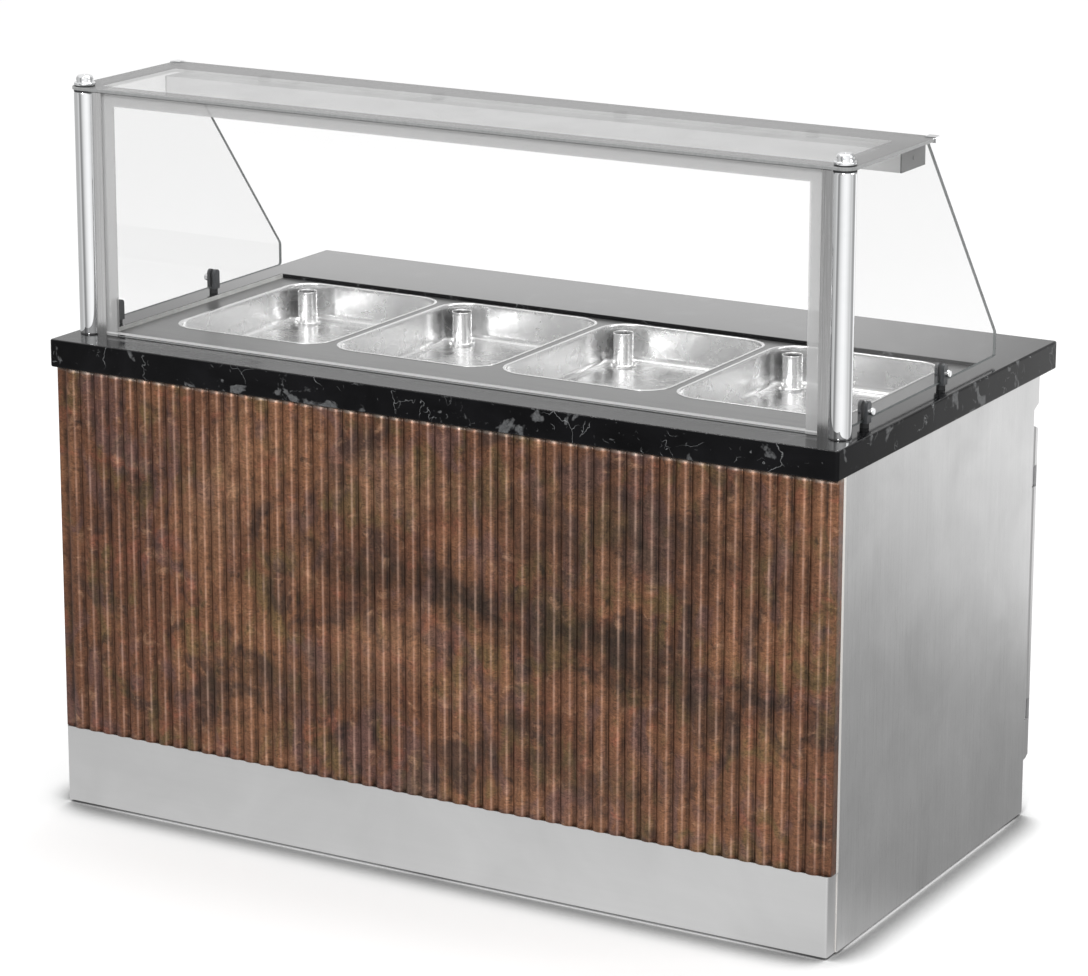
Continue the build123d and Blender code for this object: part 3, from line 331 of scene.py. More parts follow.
# Black marble, sawn and polished: clear reflections over black, grey blotches and thin pale veins.
def polishedMarble(look):
    material, tree, shader = newMaterial("black marble, polished", Roughness=look["roughness"],
                                         IOR=look["ior"])
    uneven = add(tree, "MapRange", (field(tree, 120, 5, .6, 1), .35, .7))
    ground = add(tree, "Mix", {0: uneven, 6: linear(look["black"]), 7: linear(look["ground"])},
                 data_type="RGBA").outputs[2]
    patches = field(tree, look["patchSize"], 3, .55, .7)
    ragged = add(tree, "MapRange", (field(tree, 14, 4, .65, shift=(5, 2, 7)), .2, .8, -.05, .05))
    edge = add(tree, "Math", (patches, ragged), operation="ADD")
    blotch = add(tree, "MapRange", (edge, look["patchFrom"], look["patchFrom"] + .055),
                 interpolation_type="SMOOTHSTEP")
    small = field(tree, look["chipSize"], 4, .6, 1, (8, 1, 3))
    chips = add(tree, "MapRange", (small, look["chipFrom"], look["chipFrom"] + .05))
    blotch = add(tree, "Math", (blotch, chips), operation="MAXIMUM")
    speckle = add(tree, "MapRange", (field(tree, 5, 5, .7), .35, .75, .35, 1))
    share = add(tree, "Math", (blotch, speckle), operation="MULTIPLY")
    colour = add(tree, "Mix", {0: share, 6: ground, 7: linear(look["patch"])}, data_type="RGBA").outputs[2]
    # veins run along the borders of cells, on a point that noise has bent
    point = add(tree, "TexCoord").outputs["Object"]
    bend = add(tree, "TexNoise", {"Vector": point, "Scale": 18, "Detail": 4}).outputs[1]
    bent = add(tree, "Mix", {0: .09, 4: point, 5: bend}, data_type="VECTOR").outputs[1]
    for size, width, rare, strength, shift in look["veins"]:
        moved = add(tree, "Mapping", {"Vector": bent, "Location": shift})
        cell = add(tree, "TexVoronoi", {"Vector": moved, "Scale": 1000 / size}, feature="DISTANCE_TO_EDGE")
        line = add(tree, "MapRange", (cell, 0, width / size, 1, 0))
        scarce = field(tree, size * .8, 2, .5, shift=(shift[0] + 4, 1, 2))
        here = add(tree, "MapRange", (scarce, rare, rare + .06))
        share = add(tree, "Math", (line, here), operation="MULTIPLY")
        share = add(tree, "Math", (share, strength), operation="MULTIPLY")
        colour = add(tree, "Mix", {0: share, 6: colour, 7: linear(look["vein"])}, data_type="RGBA").outputs[2]
    # the top is polished to a shine that hides most of its figure, and the edges only honed
    normal = add(tree, "SeparateXYZ", (add(tree, "NewGeometry").outputs["Normal"],))
    up = add(tree, "MapRange", (normal.outputs[2], .5, .95))
    hidden = add(tree, "Math", (up, .72), operation="MULTIPLY")
    colour = add(tree, "Mix", {0: hidden, 6: colour, 7: ground}, data_type="RGBA").outputs[2]
    connect(tree, shader, {
        "Base Color": colour,
        "Specular IOR Level": add(tree, "MapRange", (up, 0, 1, *look["shine"])),
        "Roughness": add(tree, "MapRange", (up, 0, 1, look["honed"], look["roughness"]))})
    return material


# each cloud: tone, sizes, where the noise starts and ends it, its strongest share, its shift
# each drift: tone, middle (x, z) and reach along and across in metres, slope in degrees, strongest share
copperLook = {
    # pale and the three keys after valley give the painted highlight along each rib; valley gives the tone
    # left by the painted shade in the grooves
    "brown": "#6b4733", "pale": "#bfa394", "dust": "#a39b93", "metal": .65, "roughness": .43,
    "grooveToneLeft": .3, "highlightAt": 1.46, "highlightWidth": .2, "highlightGain": 1.7, "dustFrom": 834, "dustTo": 841,
    "clouds": [("#875e43", (230, 230, 300), .42, .62, .8, (0, 0, 0)),
               ("#5e5733", (70, 70, 90), .5, .66, .5, (9, 2, 4)),
               ("#634b4a", (80, 80, 110), .5, .64, .55, (1, 7, 3)),
               ("#8c5440", (60, 60, 46), .56, .7, .55, (4, 4, 8)),
               ("#40302a", (100, 100, 90), .52, .68, .75, (2, 5, 6)),
               ("#2a211c", (30, 30, 34), .58, .74, .7, (8, 8, 3)),
               ("#9c775d", (34, 34, 26), .57, .74, .65, (5, 9, 1))],
    "drifts": [("#33281f", (.06, .53), .55, .075, -7, .72), ("#2f251d", (.42, .46), .36, .1, -9, .7),
               ("#3a2d24", (-.3, .31), .3, .07, 12, .5), ("#a67f60", (-.42, .68), .2, .13, 60, .42),
               ("#a67f60", (-.05, .72), .22, .08, 8, .4), ("#9c775c", (-.1, .4), .2, .1, 30, .3),
               ("#3f2f26", (.38, .7), .5, .16, 0, .62), ("#43332a", (.3, .25), .45, .07, 6, .45)],
}


# Copper-coloured sheet, patinated: soft brown reflections, cloudy tones, a painted highlight line on each rib
# and painted shade in the grooves.
def agedCopper(look):
    material, tree, shader = newMaterial("aged copper sheet, satin", Metallic=look["metal"])
    colour = linear(look["brown"])
    for tone, sizes, low, high, strongest, shift in look["clouds"]:
        share = add(tree, "MapRange", (field(tree, sizes, 4, .6, .7, shift), low, high, 0, strongest),
                    interpolation_type="SMOOTHSTEP")
        colour = add(tree, "Mix", {0: share, 6: colour, 7: linear(tone)}, data_type="RGBA").outputs[2]
    smoke = add(tree, "MapRange", (field(tree, (70, 70, 50), 4, .6, 1, (2, 8, 5)), .32, .6, .35, 1.1))
    for tone, (x, z), along, across, slope, strongest in look["drifts"]:
        # a TEXTURE mapping divides by the reach, so the drift is a unit ellipse round its middle
        local = add(tree, "Mapping", {
            "Vector": warpedPoint(tree, 7, .26), "Location": (x, 0, z),
            "Rotation": (0, -math.radians(slope), 0), "Scale": (along, 1e3, across)}, vector_type="TEXTURE")
        away = add(tree, "VectorMath", (local,), operation="LENGTH").outputs["Value"]
        share = add(tree, "MapRange", (away, .15, 1, strongest, 0), interpolation_type="SMOOTHSTEP")
        share = add(tree, "Math", (share, smoke), operation="MULTIPLY")
        colour = add(tree, "Mix", {0: share, 6: colour, 7: linear(tone)}, data_type="RGBA").outputs[2]
    streak = add(tree, "MapRange", (field(tree, (2.4, 2.4, 70), 3, .6, shift=(1, 1, 9)), .3, .7, .84, 1.16))
    flakes = add(tree, "MapRange", (field(tree, (15, 15, 8), 5, .72, 2), .3, .7, .42, 1.5))
    crackle = add(tree, "MapRange", (field(tree, (8, 8, 2.6), 4, .7, 2.4, (4, 1, 6)), .35, .65, .72, 1.2))
    shade = add(tree, "Math", (streak, flakes), operation="MULTIPLY")
    shade = add(tree, "Math", (shade, crackle), operation="MULTIPLY")
    # across runs from 0 in one groove over 1 at the crest to 2 in the next, and painted shade darkens the
    # grooves, unevenly
    across = add(tree, "Attribute", attribute_name="across").outputs["Fac"]
    fromCrest = add(tree, "Math", (across, 1), operation="SUBTRACT")
    fromCrest = add(tree, "Math", (fromCrest,), operation="ABSOLUTE")
    grooveShade = add(tree, "MapRange", (fromCrest, .6, 1, 0, 1 - look["grooveToneLeft"]), interpolation_type="SMOOTHSTEP")
    grooveShadeNoise = add(tree, "MapRange", (field(tree, (50, 50, 70), 4, .65, shift=(3, 6, 8)), .34, .62, .25, 1.1))
    grooveShade = add(tree, "Math", (grooveShade, grooveShadeNoise), operation="MULTIPLY")
    unmarked = add(tree, "Math", (1, grooveShade), operation="SUBTRACT")
    shade = add(tree, "Math", (shade, unmarked), operation="MULTIPLY")
    # painted highlight: one line along each rib, right of the crest, is painted pale and brighter, here and
    # there
    fromHighlight = add(tree, "Math", (across, look["highlightAt"]), operation="SUBTRACT")
    fromHighlight = add(tree, "Math", (fromHighlight,), operation="ABSOLUTE")
    dull = add(tree, "MapRange", (fromHighlight, 0, look["highlightWidth"]), interpolation_type="SMOOTHSTEP")
    paintedHighlight = add(tree, "Math", (1, dull), operation="SUBTRACT")
    highlightPatches = add(tree, "MapRange", (field(tree, (90, 90, 60), 4, .65, shift=(6, 3, 2)), .35, .62, .12, 1))
    paintedHighlight = add(tree, "Math", (paintedHighlight, highlightPatches), operation="MULTIPLY")
    gain = add(tree, "MapRange", (paintedHighlight, 0, 1, 1, look["highlightGain"]))
    shade = add(tree, "Math", (shade, gain), operation="MULTIPLY")
    shade = add(tree, "CombineColor", (shade, shade, shade))
    colour = add(tree, "Mix", {0: 1, 6: colour, 7: shade}, data_type="RGBA", blend_type="MULTIPLY").outputs[2]
    share = add(tree, "Math", (paintedHighlight, .35), operation="MULTIPLY")
    colour = add(tree, "Mix", {0: share, 6: colour, 7: linear(look["pale"])}, data_type="RGBA").outputs[2]
    # dust lies under the marble's edge
    height = add(tree, "SeparateXYZ", (add(tree, "TexCoord").outputs["Object"],)).outputs[2]
    dusty = add(tree, "Math", (add(tree, "MapRange", (height, mm(look["dustFrom"]), mm(look["dustTo"]))),
                               add(tree, "MapRange", (field(tree, 14, 4, .6), .35, .6, .2, .8))),
                operation="MULTIPLY")
    colour = add(tree, "Mix", {0: dusty, 6: colour, 7: linear(look["dust"])}, data_type="RGBA").outputs[2]
    uneven = field(tree, (30, 30, 60), 4, .6, shift=(3, 3, 1))
    rough = look["roughness"]
    connect(tree, shader, {
        "Base Color": colour,
        "Roughness": add(tree, "MapRange", (uneven, .3, .7, rough - .06, rough + .12)),
        "Normal": add(tree, "Bump", {"Height": flakes, "Distance": mm(.1), "Strength": .5})})
    return material


# clear: the pane is clear between these places in metres, and satin outside them
# foot: a painted highlight, a bright line between two heights in metres, its tone and strength
panes = {
    "front": {"tint": "#fefefe", "reflect": .6, "borderTint": "#d3d3d3", "borderBody": "#cacaca",
              "body": .5, "sheen": .3, "clear": [("X", -mm(702), mm(702)), ("Z", .5, mm(1322))],
              "foot": (mm(899.8), mm(902.6), "#e0e0e0", .65)},
    "top": {"tint": "#eeeeee", "reflect": 1.4, "borderTint": "#b6b6b6", "borderBody": "#8c8c8c",
            "body": .55, "sheen": .55, "clear": [("X", -mm(735), mm(735)), ("Y", frontY(94), frontY(322))]},
    "side": {"tint": "#f7f7f7", "reflect": .6, "borderTint": "#ffffff", "borderBody": "#ffffff",
             "body": .1, "sheen": .3, "clear": [("X", -2, 2)]},
}


# Float glass: clear, seen by its reflections and a slight tint, with a satin grey border where the look
# gives one.
def glassPane(name, look):
    material, tree = bareMaterial(name)
    at = add(tree, "SeparateXYZ", (add(tree, "TexCoord").outputs["Object"],)).outputs
    clear = 1
    for axis, low, high in look["clear"]:
        along = at["XYZ".index(axis)]
        above = add(tree, "Math", (along, low), operation="GREATER_THAN")
        below = add(tree, "Math", (along, high), operation="LESS_THAN")
        inside = add(tree, "Math", (above, below), operation="MULTIPLY")
        clear = add(tree, "Math", (clear, inside), operation="MULTIPLY")
    smudge = add(tree, "MapRange", (field(tree, 80, 4, .6, .6), .3, .7, .9, 1.1))
    # the face met first carries the whole reflection, the one behind it only the tint
    facing = add(tree, "Math", (1, add(tree, "NewGeometry").outputs["Backfacing"]), operation="SUBTRACT")
    fresnel = add(tree, "Math", (add(tree, "Fresnel", {"IOR": 1.45}), facing), operation="MULTIPLY")
    share = add(tree, "Math", (fresnel, look["reflect"]), operation="MULTIPLY")
    share = add(tree, "Math", (share, smudge), operation="MULTIPLY", use_clamp=True)
    tint = add(tree, "BsdfTransparent", {"Color": linear(look["tint"])})
    gloss = add(tree, "BsdfGlossy", {"Color": grey(.95), "Roughness": .02})
    pane = add(tree, "MixShader", (share, tint, gloss))
    through = add(tree, "BsdfTransparent", {"Color": linear(look["borderTint"])})
    satin = add(tree, "BsdfDiffuse", {"Color": linear(look["borderBody"])})
    grain = add(tree, "MapRange", (field(tree, 1.6, 2, .5), .3, .7, look["body"] - .03, look["body"] + .03))
    body = add(tree, "MixShader", (grain, through, satin))
    sheen = add(tree, "BsdfGlossy", {"Color": grey(.9), "Roughness": .25})
    share = add(tree, "Math", (fresnel, look["sheen"]), operation="MULTIPLY")
    border = add(tree, "MixShader", (share, body, sheen))
    whole = add(tree, "MixShader", (clear, border, pane))
    if "foot" in look:
        # painted highlight: the polished foot is drawn as one thin bright line just above the worktop
        low, high, tone, strength = look["foot"]
        above = add(tree, "Math", (at[2], low), operation="GREATER_THAN")
        below = add(tree, "Math", (at[2], high), operation="LESS_THAN")
        here = add(tree, "Math", (above, below), operation="MULTIPLY")
        here = add(tree, "Math", (here, strength), operation="MULTIPLY")
        whole = add(tree, "MixShader", (here, whole, add(tree, "BsdfDiffuse", {"Color": linear(tone)})))
    add(tree, "OutputMaterial", (whole,))
    return material


# Glass edge, ground and polished: grey, darker than the pane, and part of the light goes through.
def glassEdge(name, tone, clearShare):
    material, tree = bareMaterial(name)
    line = add(tree, "MapRange", (field(tree, (3, 3, 40), 3, .6), .3, .7, .85, 1.1))
    shade = add(tree, "CombineColor", (line, line, line))
    colour = add(tree, "Mix", {0: 1, 6: linear(tone), 7: shade}, data_type="RGBA", blend_type="MULTIPLY")
    body = add(tree, "BsdfDiffuse", {"Color": colour.outputs[2]})
    through = add(tree, "BsdfTransparent", {"Color": linear("#cacaca")})
    soft = add(tree, "MixShader", (clearShare, body, through))
    gloss = add(tree, "BsdfGlossy", {"Color": grey(.9), "Roughness": .08})
    facing = add(tree, "Math", (1, add(tree, "NewGeometry").outputs["Backfacing"]), operation="SUBTRACT")
    fresnel = add(tree, "Math", (add(tree, "Fresnel", {"IOR": 1.3}), facing), operation="MULTIPLY")
    add(tree, "OutputMaterial", (add(tree, "MixShader", (fresnel, soft, gloss)),))
    return material


# Stainless steel deck, satin: its turned edges at the front and the ends get a pale tone,
# a painted highlight.
def deckSheet(look):
    material = steelSheet("satin stainless steel deck", look["tone"], "X", .34, .04, .03)
    tree = material.node_tree
    shader = tree.nodes["Principled BSDF"]
    sheet = shader.inputs["Base Color"].links[0].from_socket
    at = add(tree, "SeparateXYZ", (add(tree, "TexCoord").outputs["Object"],)).outputs
    fromMiddle = add(tree, "Math", (at[0],), operation="ABSOLUTE")
    endHighlight = add(tree, "Math", (fromMiddle, mm(look["halfLength"])), operation="GREATER_THAN")
    frontHighlight = add(tree, "Math", (at[1], frontY(look["front"])), operation="LESS_THAN")
    share = add(tree, "Math", (endHighlight, frontHighlight), operation="MAXIMUM")
    colour = add(tree, "Mix", {0: share, 6: sheet, 7: linear(look["edge"])}, data_type="RGBA")
    connect(tree, shader, {"Base Color": colour.outputs[2]})
    return material


looks = {
    "polished_marble": polishedMarble(marbleLook),
    "brushed_steel": steelSheet("brushed stainless steel", "#c9c9c9", "Z", .31, .035, .07),
    "satin_plinth": steelSheet("satin stainless steel plinth", "#c5c5c5", "X", .4, .012, .035),
    # a real angle; its near-white tone is a painted highlight
    "bright_trim": steelSheet("bright stainless steel angle", "#f4f1ed", "Z", .5, .03, .02),
    "tank_steel": polishedMetal("pressed stainless steel, bright", "#e6e6e6", .22, .9, 150),
    "aged_copper": agedCopper(copperLook),
    "backing_board": plastic("raw board", "#8f7555", .8, .2, 2),
    "galvanised_frame": polishedMetal("galvanised steel", "#a5a8aa", .42, .3, 8, .08),
    "black_plastic": plastic("black moulded plastic", "#191a1b", .42),
    "red_rocker": plastic("glossy red plastic", "#b01a12", .18, .01),
    "black_rocker": plastic("glossy black plastic", "#141415", .18, .01),
    "amber_lens": plastic("amber lens", "#e08a1c", .12, .01),
    "brass_valve": polishedMetal("cast brass", "#c9a765", .28, .2, 3, .05),
    "drain_pipe": plastic("light grey pipe", "#b9b9b5", .4),
    "lever_red": plastic("red dipped coating", "#a51d16", .35),
    "heater_mat": plastic("silicone heating mat", "#8e4a2c", .6),
    "hinge_steel": polishedMetal("zinc plated steel", "#dededf", .42, .05, 6, .05),
    "polished_steel": polishedMetal("mirror polished stainless steel", "#e3e4e5", .035, 0, 90, .02),
    "channel_aluminium": steelSheet("bright aluminium channel", "#d2d2d2", "Z", .22, .09, .02),
    "frosted_glass": glassPane("pane with satin border", panes["front"]),
    "clear_glass": glassPane("clear pane", panes["side"]),
    "dark_rubber": plastic("dark rubber", "#1d1e1f", .6, .05),
    "clip_grey": plastic("dark grey moulded clip", "#3c3e40", .4),
    "lamp_aluminium": steelSheet("satin lamp housing", "#eeeeee", "X", .4, .03, .02),
    "lamp_cap_grey": plastic("grey moulded cap", "#676767", .42),
    "lamp_diffuser": plastic("opal diffuser", "#e6e6e2", .5, .01),
    "led_board": plastic("white circuit strip", "#dcdcd6", .4),
}

# the edge tone is a painted highlight on the deck's front and end edges
deckSteel = deckSheet({"tone": "#848484", "edge": "#dadada", "halfLength": 743.5, "front": 98.5})
wellEndGrey = plastic("pale grey well end faces", "#a9a9a7", .5, .02, 3)
topPane = glassPane("top pane with satin border", panes["top"])
paneEdge = glassEdge("ground glass edge", "#a2a3a3", .3)
sideEdge = glassEdge("ground side glass edge", "#6c7070", .1)
for entry in frame["record"]["subparts"]:
    mesh = nodes[entry["node"]].data
    mesh.materials.clear()
    mesh.materials.append(deckSteel if entry["node"] == "well_surround" else looks[entry["material_slot"]])
print("materials set on", len(nodes), "nodes")


# Ribbed front.

ribbedFront = {
    "halfBody": 795, "margin": 18.5, "count": 49, "low": 150, "high": 843, "sheet": 1.2,
    "groove": 2, "grooveTurn": .35, "grooveRise": .05,   # flat between two ribs, and the small turn beside it
    "crest": 7, "level": 14,   # y of the ribs' crests and of the grooves
    "bend": 2.5, "returnEnd": 35, "endAcross": .5,   # the returns at both ends
    "arcPoints": 15, "bendPoints": 6, "rows": 60,
    "wave": .12, "waveAcross": 190, "waveUp": 240, "waveEnd": 20,   # the sheet isn't quite flat
}


# One shallow arc per rib between narrow flat grooves, run up the panel and bent back at both ends.
# The arc's radius is crown^2 / (8 rise) + rise / 2.
def makeRibbedFront(v):
    pitch = (2 * v["halfBody"] - 2 * v["margin"]) / v["count"]
    crown, rise = pitch - v["groove"], v["level"] - v["crest"]
    radius = crown ** 2 / (8 * rise) + rise / 2
    reach = math.degrees(math.asin(crown / 2 / radius))
    one = arc((0, v["crest"] + radius), radius, 270 - reach, 270 + reach, v["arcPoints"])
    foot, footLevel = crown / 2 + v["grooveTurn"], v["level"] - v["grooveRise"]
    one = np.concatenate([[[-pitch / 2, v["level"]], [-foot, footLevel]], one[1:-1], [[foot, footLevel]]])
    centres = (np.arange(v["count"]) - (v["count"] - 1) / 2) * pitch
    line = (one[None] + np.stack([centres, np.zeros_like(centres)], -1)[:, None]).reshape(-1, 2)
    across = np.tile(1 + one[:, 0] / (crown / 2), v["count"])
    h, bend = v["halfBody"], v["bend"]
    leftTurn = arc((-h + bend, v["level"] + bend), bend, 180, 270, v["bendPoints"])
    rightTurn = arc((h - bend, v["level"] + bend), bend, 270, 360, v["bendPoints"])
    line = np.concatenate([[[-h, v["returnEnd"]]], leftTurn, line, rightTurn, [[h, v["returnEnd"]]]])
    returnAcross = np.full(v["bendPoints"] + 1, v["endAcross"])
    across = np.concatenate([returnAcross, across, returnAcross])
    z = np.linspace(v["low"], v["high"], v["rows"])
    x = np.broadcast_to(line[:, 0][:, None], (len(line), v["rows"]))
    sway = v["wave"] * np.sin(x / v["waveAcross"] + z[None] / v["waveUp"]) * (np.abs(x) < h - v["waveEnd"])
    y = line[:, 1][:, None] + sway
    made = gridObject("ribbedFrontPanel", toFrame(np.stack([x, y, np.broadcast_to(z, x.shape)], -1)))
    # faces have to look out to -Y before the sheet is thickened behind them
    if made.data.polygons[len(made.data.polygons) // 2].normal.y > 0:
        made.data.flip_normals()
    acrossValues = np.clip(np.broadcast_to(across[:, None], x.shape), 0, 2).astype(np.float32)
    made.data.attributes.new("across", "FLOAT", "POINT").data.foreach_set("value", acrossValues.ravel())
    thick = made.modifiers.new("sheet", "SOLIDIFY")
    thick.thickness, thick.offset = mm(v["sheet"]), -1
    made.data.materials.append(looks["aged_copper"])
    return place(made, "counter", "aged_copper", "ribbed_front")


makeRibbedFront(ribbedFront)
print("ribbed front done")


# Marble slab.

marble = {
    "half": 800, "depth": 925, "top": 895, "bottom": 843, "corner": 6, "ease": 3.5,
    "wellHalf": 747, "wellFront": 95, "wellRear": 686, "wellCorner": 2, "wellEase": 1,
    "support": 1.2,   # how far beside an eased edge the next ring lies
    "turnSteps": 7, "cornerSteps": 9, "smallestCorner": .3, "wellEndWidth": 1.2,
}


# Rings over the eased outer edge, across the top, down the well's edge and back underneath.
# The outer edge turns by (ease (1 - cos t), ease sin t).
def makeMarble(v):
    h, e, w, k = v["half"], v["ease"], v["wellEase"], v["support"]
    outer = [(-h, 0), (h, 0), (h, v["depth"]), (-h, v["depth"])]
    well = [(-v["wellHalf"], v["wellFront"]), (v["wellHalf"], v["wellFront"]), (v["wellHalf"], v["wellRear"]),
            (-v["wellHalf"], v["wellRear"])]
    t = np.radians(np.linspace(0, 90, v["turnSteps"]))
    # distance in from the outer edge and height: the foot's turn, the face, the top's turn
    turn = np.column_stack([e * (1 - np.cos(t)), e * np.sin(t)])
    low = [(inset, v["bottom"] + e - rise) for inset, rise in turn[::-1]]
    high = [(inset, v["top"] - e + rise) for inset, rise in turn]
    section = [(e + k, v["bottom"]), *low, (0, v["bottom"] + e + k), (0, v["top"] - e - k), *high,
               (e + k, v["top"])]
    rings = [(outer, v["corner"], inset, z) for inset, z in section]
    # the well's edge: the top, its small turn, the face and the underside
    section = [(-w - k, v["top"]), (-w, v["top"]), (-w * .3, v["top"] - w * .3), (0, v["top"] - w),
               (0, v["top"] - w - k), (0, v["bottom"] + k), (0, v["bottom"]), (-k, v["bottom"])]
    rings += [(well, v["wellCorner"], inset, z) for inset, z in section]
    points = []
    for corners, radius, inset, z in rings:
        radii = [max(radius - inset, v["smallestCorner"])] * 4
        line = roundedOutline(insetCorners(corners, inset), radii, v["cornerSteps"])
        points.append(np.column_stack([line, np.full(len(line), z)]))
    made = gridObject("marbleSlab", toFrame(np.stack(points)), wrapRows=True, wrapColumns=True, closed=True)
    made.data.materials.append(looks["polished_marble"])
    # the cut edge's faces at both ends of the well are pale grey
    made.data.materials.append(wellEndGrey)
    near = [abs(abs(face.center.x) - mm(v["wellHalf"])) < mm(v["wellEndWidth"]) and abs(face.normal.x) > .6
            for face in made.data.polygons]
    made.data.polygons.foreach_set("material_index", np.array(near, np.int32))
    return place(made, "counter", "polished_marble", "marble_top")


makeMarble(marble)
print("marble done")


# Tanks and overflow pipes.

tank = {
    "pitch": 352, "length": 324, "width": 442, "front": 229, "corner": 50, "floor": 819, "rim": 889,
    "rimWidth": 7.2, "rimTurn": 3, "floorTurn": 14, "wall": 1.2,
    "wallFrom": 6, "wallTo": 46, "wallRings": 5,   # rings down the wall, counted from the rim's turn
    "pipeOffset": 34, "drain": 21.5, "dish": 1.4, "dishReach": 400,
    "cornerSteps": 14, "sideSteps": 18, "rimSteps": 6, "turnSteps": 9, "floorRings": 14,
}
centres = [(k - 1.5) * tank["pitch"] for k in range(4)]


# points round a rectangle with rounded corners, anticlockwise, with points along its sides too
def roundedRing(halfX, halfY, radius, cornerSteps, sideSteps):
    out = []
    corners = [(halfX - radius, -halfY + radius, 270), (halfX - radius, halfY - radius, 0),
               (-halfX + radius, halfY - radius, 90), (-halfX + radius, -halfY + radius, 180)]
    for k, (x, y, start) in enumerate(corners):
        turn = arc((x, y), radius, start, start + 90, cornerSteps)
        nextX, nextY, nextStart = corners[(k + 1) % 4]
        ahead = arc((nextX, nextY), radius, nextStart, nextStart + 1, 1)
        t = np.linspace(0, 1, sideSteps + 1)[1:-1, None]
        out += [turn, turn[-1] * (1 - t) + ahead[0] * t]
    return np.concatenate(out)


# Rings from the rim's edge over a small turn, down the wall, round the bottom turn and in to the drain.
# The floor's rings go from the outer ring to the drain's circle by (1 - t) and t.
def makeTank(number, centre, v):
    rim, rimTurn, width, floorTurn = v["rim"], v["rimTurn"], v["rimWidth"], v["floorTurn"]
    section = [(width, rim - .9), (width - .3, rim - .2), (width - 1.2, rim), (rimTurn + .8, rim)]
    section += list(arc((rimTurn, rim - rimTurn), rimTurn, 90, 180, v["rimSteps"]))
    section += [(0, rim - rimTurn - t) for t in np.linspace(v["wallFrom"], v["wallTo"], v["wallRings"])]
    section += list(arc((-floorTurn, v["floor"] + floorTurn), floorTurn, 0, -90, v["turnSteps"]))
    rings = []
    for offset, z in section:
        ring = roundedRing(v["length"] / 2 + offset, v["width"] / 2 + offset, v["corner"] + offset,
                           v["cornerSteps"], v["sideSteps"])
        rings.append(np.column_stack([ring, np.full(len(ring), z)]))
    drain = np.array([-v["length"] / 2 + v["pipeOffset"], v["width"] / 2 - v["pipeOffset"]])
    ray = rings[-1][:, :2] - drain
    far = np.linalg.norm(ray, axis=1)[:, None]
    for t in np.linspace(0, 1, v["floorRings"])[1:]:
        flat = drain + ray / far * (far * (1 - t) + v["drain"] * t)
        spread = np.linalg.norm(flat - drain, axis=1) / v["dishReach"]
        z = v["floor"] + v["dish"] * np.sin(np.pi * t) ** 2 * np.clip(spread, 0, 1)
        rings.append(np.column_stack([flat, z]))
    points = np.stack(rings) + [centre, v["front"] + v["width"] / 2, 0]
    made = gridObject(f"tankPan{number}", toFrame(points), wrapColumns=True)
    # faces of the floor look up before the sheet is thickened below them
    if made.data.polygons[len(made.data.polygons) - 5].normal.z < 0:
        made.data.flip_normals()
    thick = made.modifiers.new("sheet", "SOLIDIFY")
    thick.thickness, thick.offset = mm(v["wall"]), -1
    made.data.materials.append(looks["tank_steel"])
    return place(made, "counter", "tank_steel", f"tank_{number}")


pipe = {"radius": 19, "wall": 1.5, "low": 810, "high": 880, "footRing": 1, "topRing": 6, "lipSteps": 7,
        "sides": 96}


# a tube with a rounded lip, turned about its own axis
def makePipe(number, centre, v):
    r, w = v["radius"], v["wall"]
    foot, neck = v["low"] + v["footRing"], v["high"] - v["topRing"]
    lip = arc((r - w / 2, v["high"] - w / 2), w / 2, 0, 180, v["lipSteps"])
    profile = np.concatenate([[[r, v["low"]], [r, foot], [r, neck]], lip,
                              [[r - w, neck], [r - w, foot], [r - w, v["low"]]]])
    x = centre - tank["length"] / 2 + tank["pipeOffset"]
    y = tank["front"] + tank["width"] - tank["pipeOffset"]
    made = turned(f"overflowPipe{number}", profile, (mm(x), frontY(y), 0), v["sides"])
    made.data.materials.append(looks["tank_steel"])
    return place(made, f"standpipe_{number}", "tank_steel", f"standpipe_{number}")


for number, centre in enumerate(centres, 1):
    makeTank(number, centre, tank)
    makePipe(number, centre, pipe)
print("tanks and pipes done")


# Posts and caps.

post = {
    "x": 764, "y": 80, "radius": 20, "wall": 2, "low": 895, "high": 1345, "edge": .4, "endRing": 4,
    "sides": 160,
    "capLow": 1357, "capHigh": 1375, "capRadius": 15.5, "dome": 6, "domeSteps": 12, "capSides": 128,
    "flangeRadius": 19.5, "flangeHeight": 5, "flangeEdge": 1.5, "flangeSteps": 6, "flangeTurn": .6,
    "pole": .01,   # radius left open at a cap's axis
}


# tubes with eased ends, and caps with a flange, a neck and a domed edge, all turned about the posts' axes
def makePosts(v):
    r, edge, ring, low, high = v["radius"], v["edge"], v["endRing"], v["low"], v["high"]
    tube = [(r - v["wall"], low), (r - edge, low), (r, low + edge), (r, low + ring),
            (r, high - ring), (r, high - edge), (r - edge, high), (r - v["wall"], high)]
    c, f, e, low, high = v["capRadius"], v["flangeRadius"], v["flangeEdge"], v["capLow"], v["capHigh"]
    shoulder, turn = low + v["flangeHeight"], v["flangeTurn"]
    dome = arc((c - v["dome"], high - v["dome"]), v["dome"], 0, 90, v["domeSteps"])
    lip = arc((f - e, shoulder - e), e, 0, 90, v["flangeSteps"])
    cap = np.concatenate([[[v["pole"], low], [f - edge, low], [f, low + edge]], lip,
                          [[c + turn, shoulder], [c, shoulder + turn]], dome,
                          [[c * .3, high], [v["pole"], high]]])
    tubes, caps = [], []
    for side in (-1, 1):
        at = (mm(side * v["x"]), frontY(v["y"]), 0)
        tubes.append(turned("tube", tube, at, v["sides"]))
        caps.append(turned("cap", cap, at, v["capSides"]))
    for name, pieces, node in (("postTubes", tubes, "posts"), ("postTopCaps", caps, "post_caps")):
        made = joined(name, pieces)
        made.data.materials.append(looks["polished_steel"])
        place(made, "counter", "polished_steel", node)


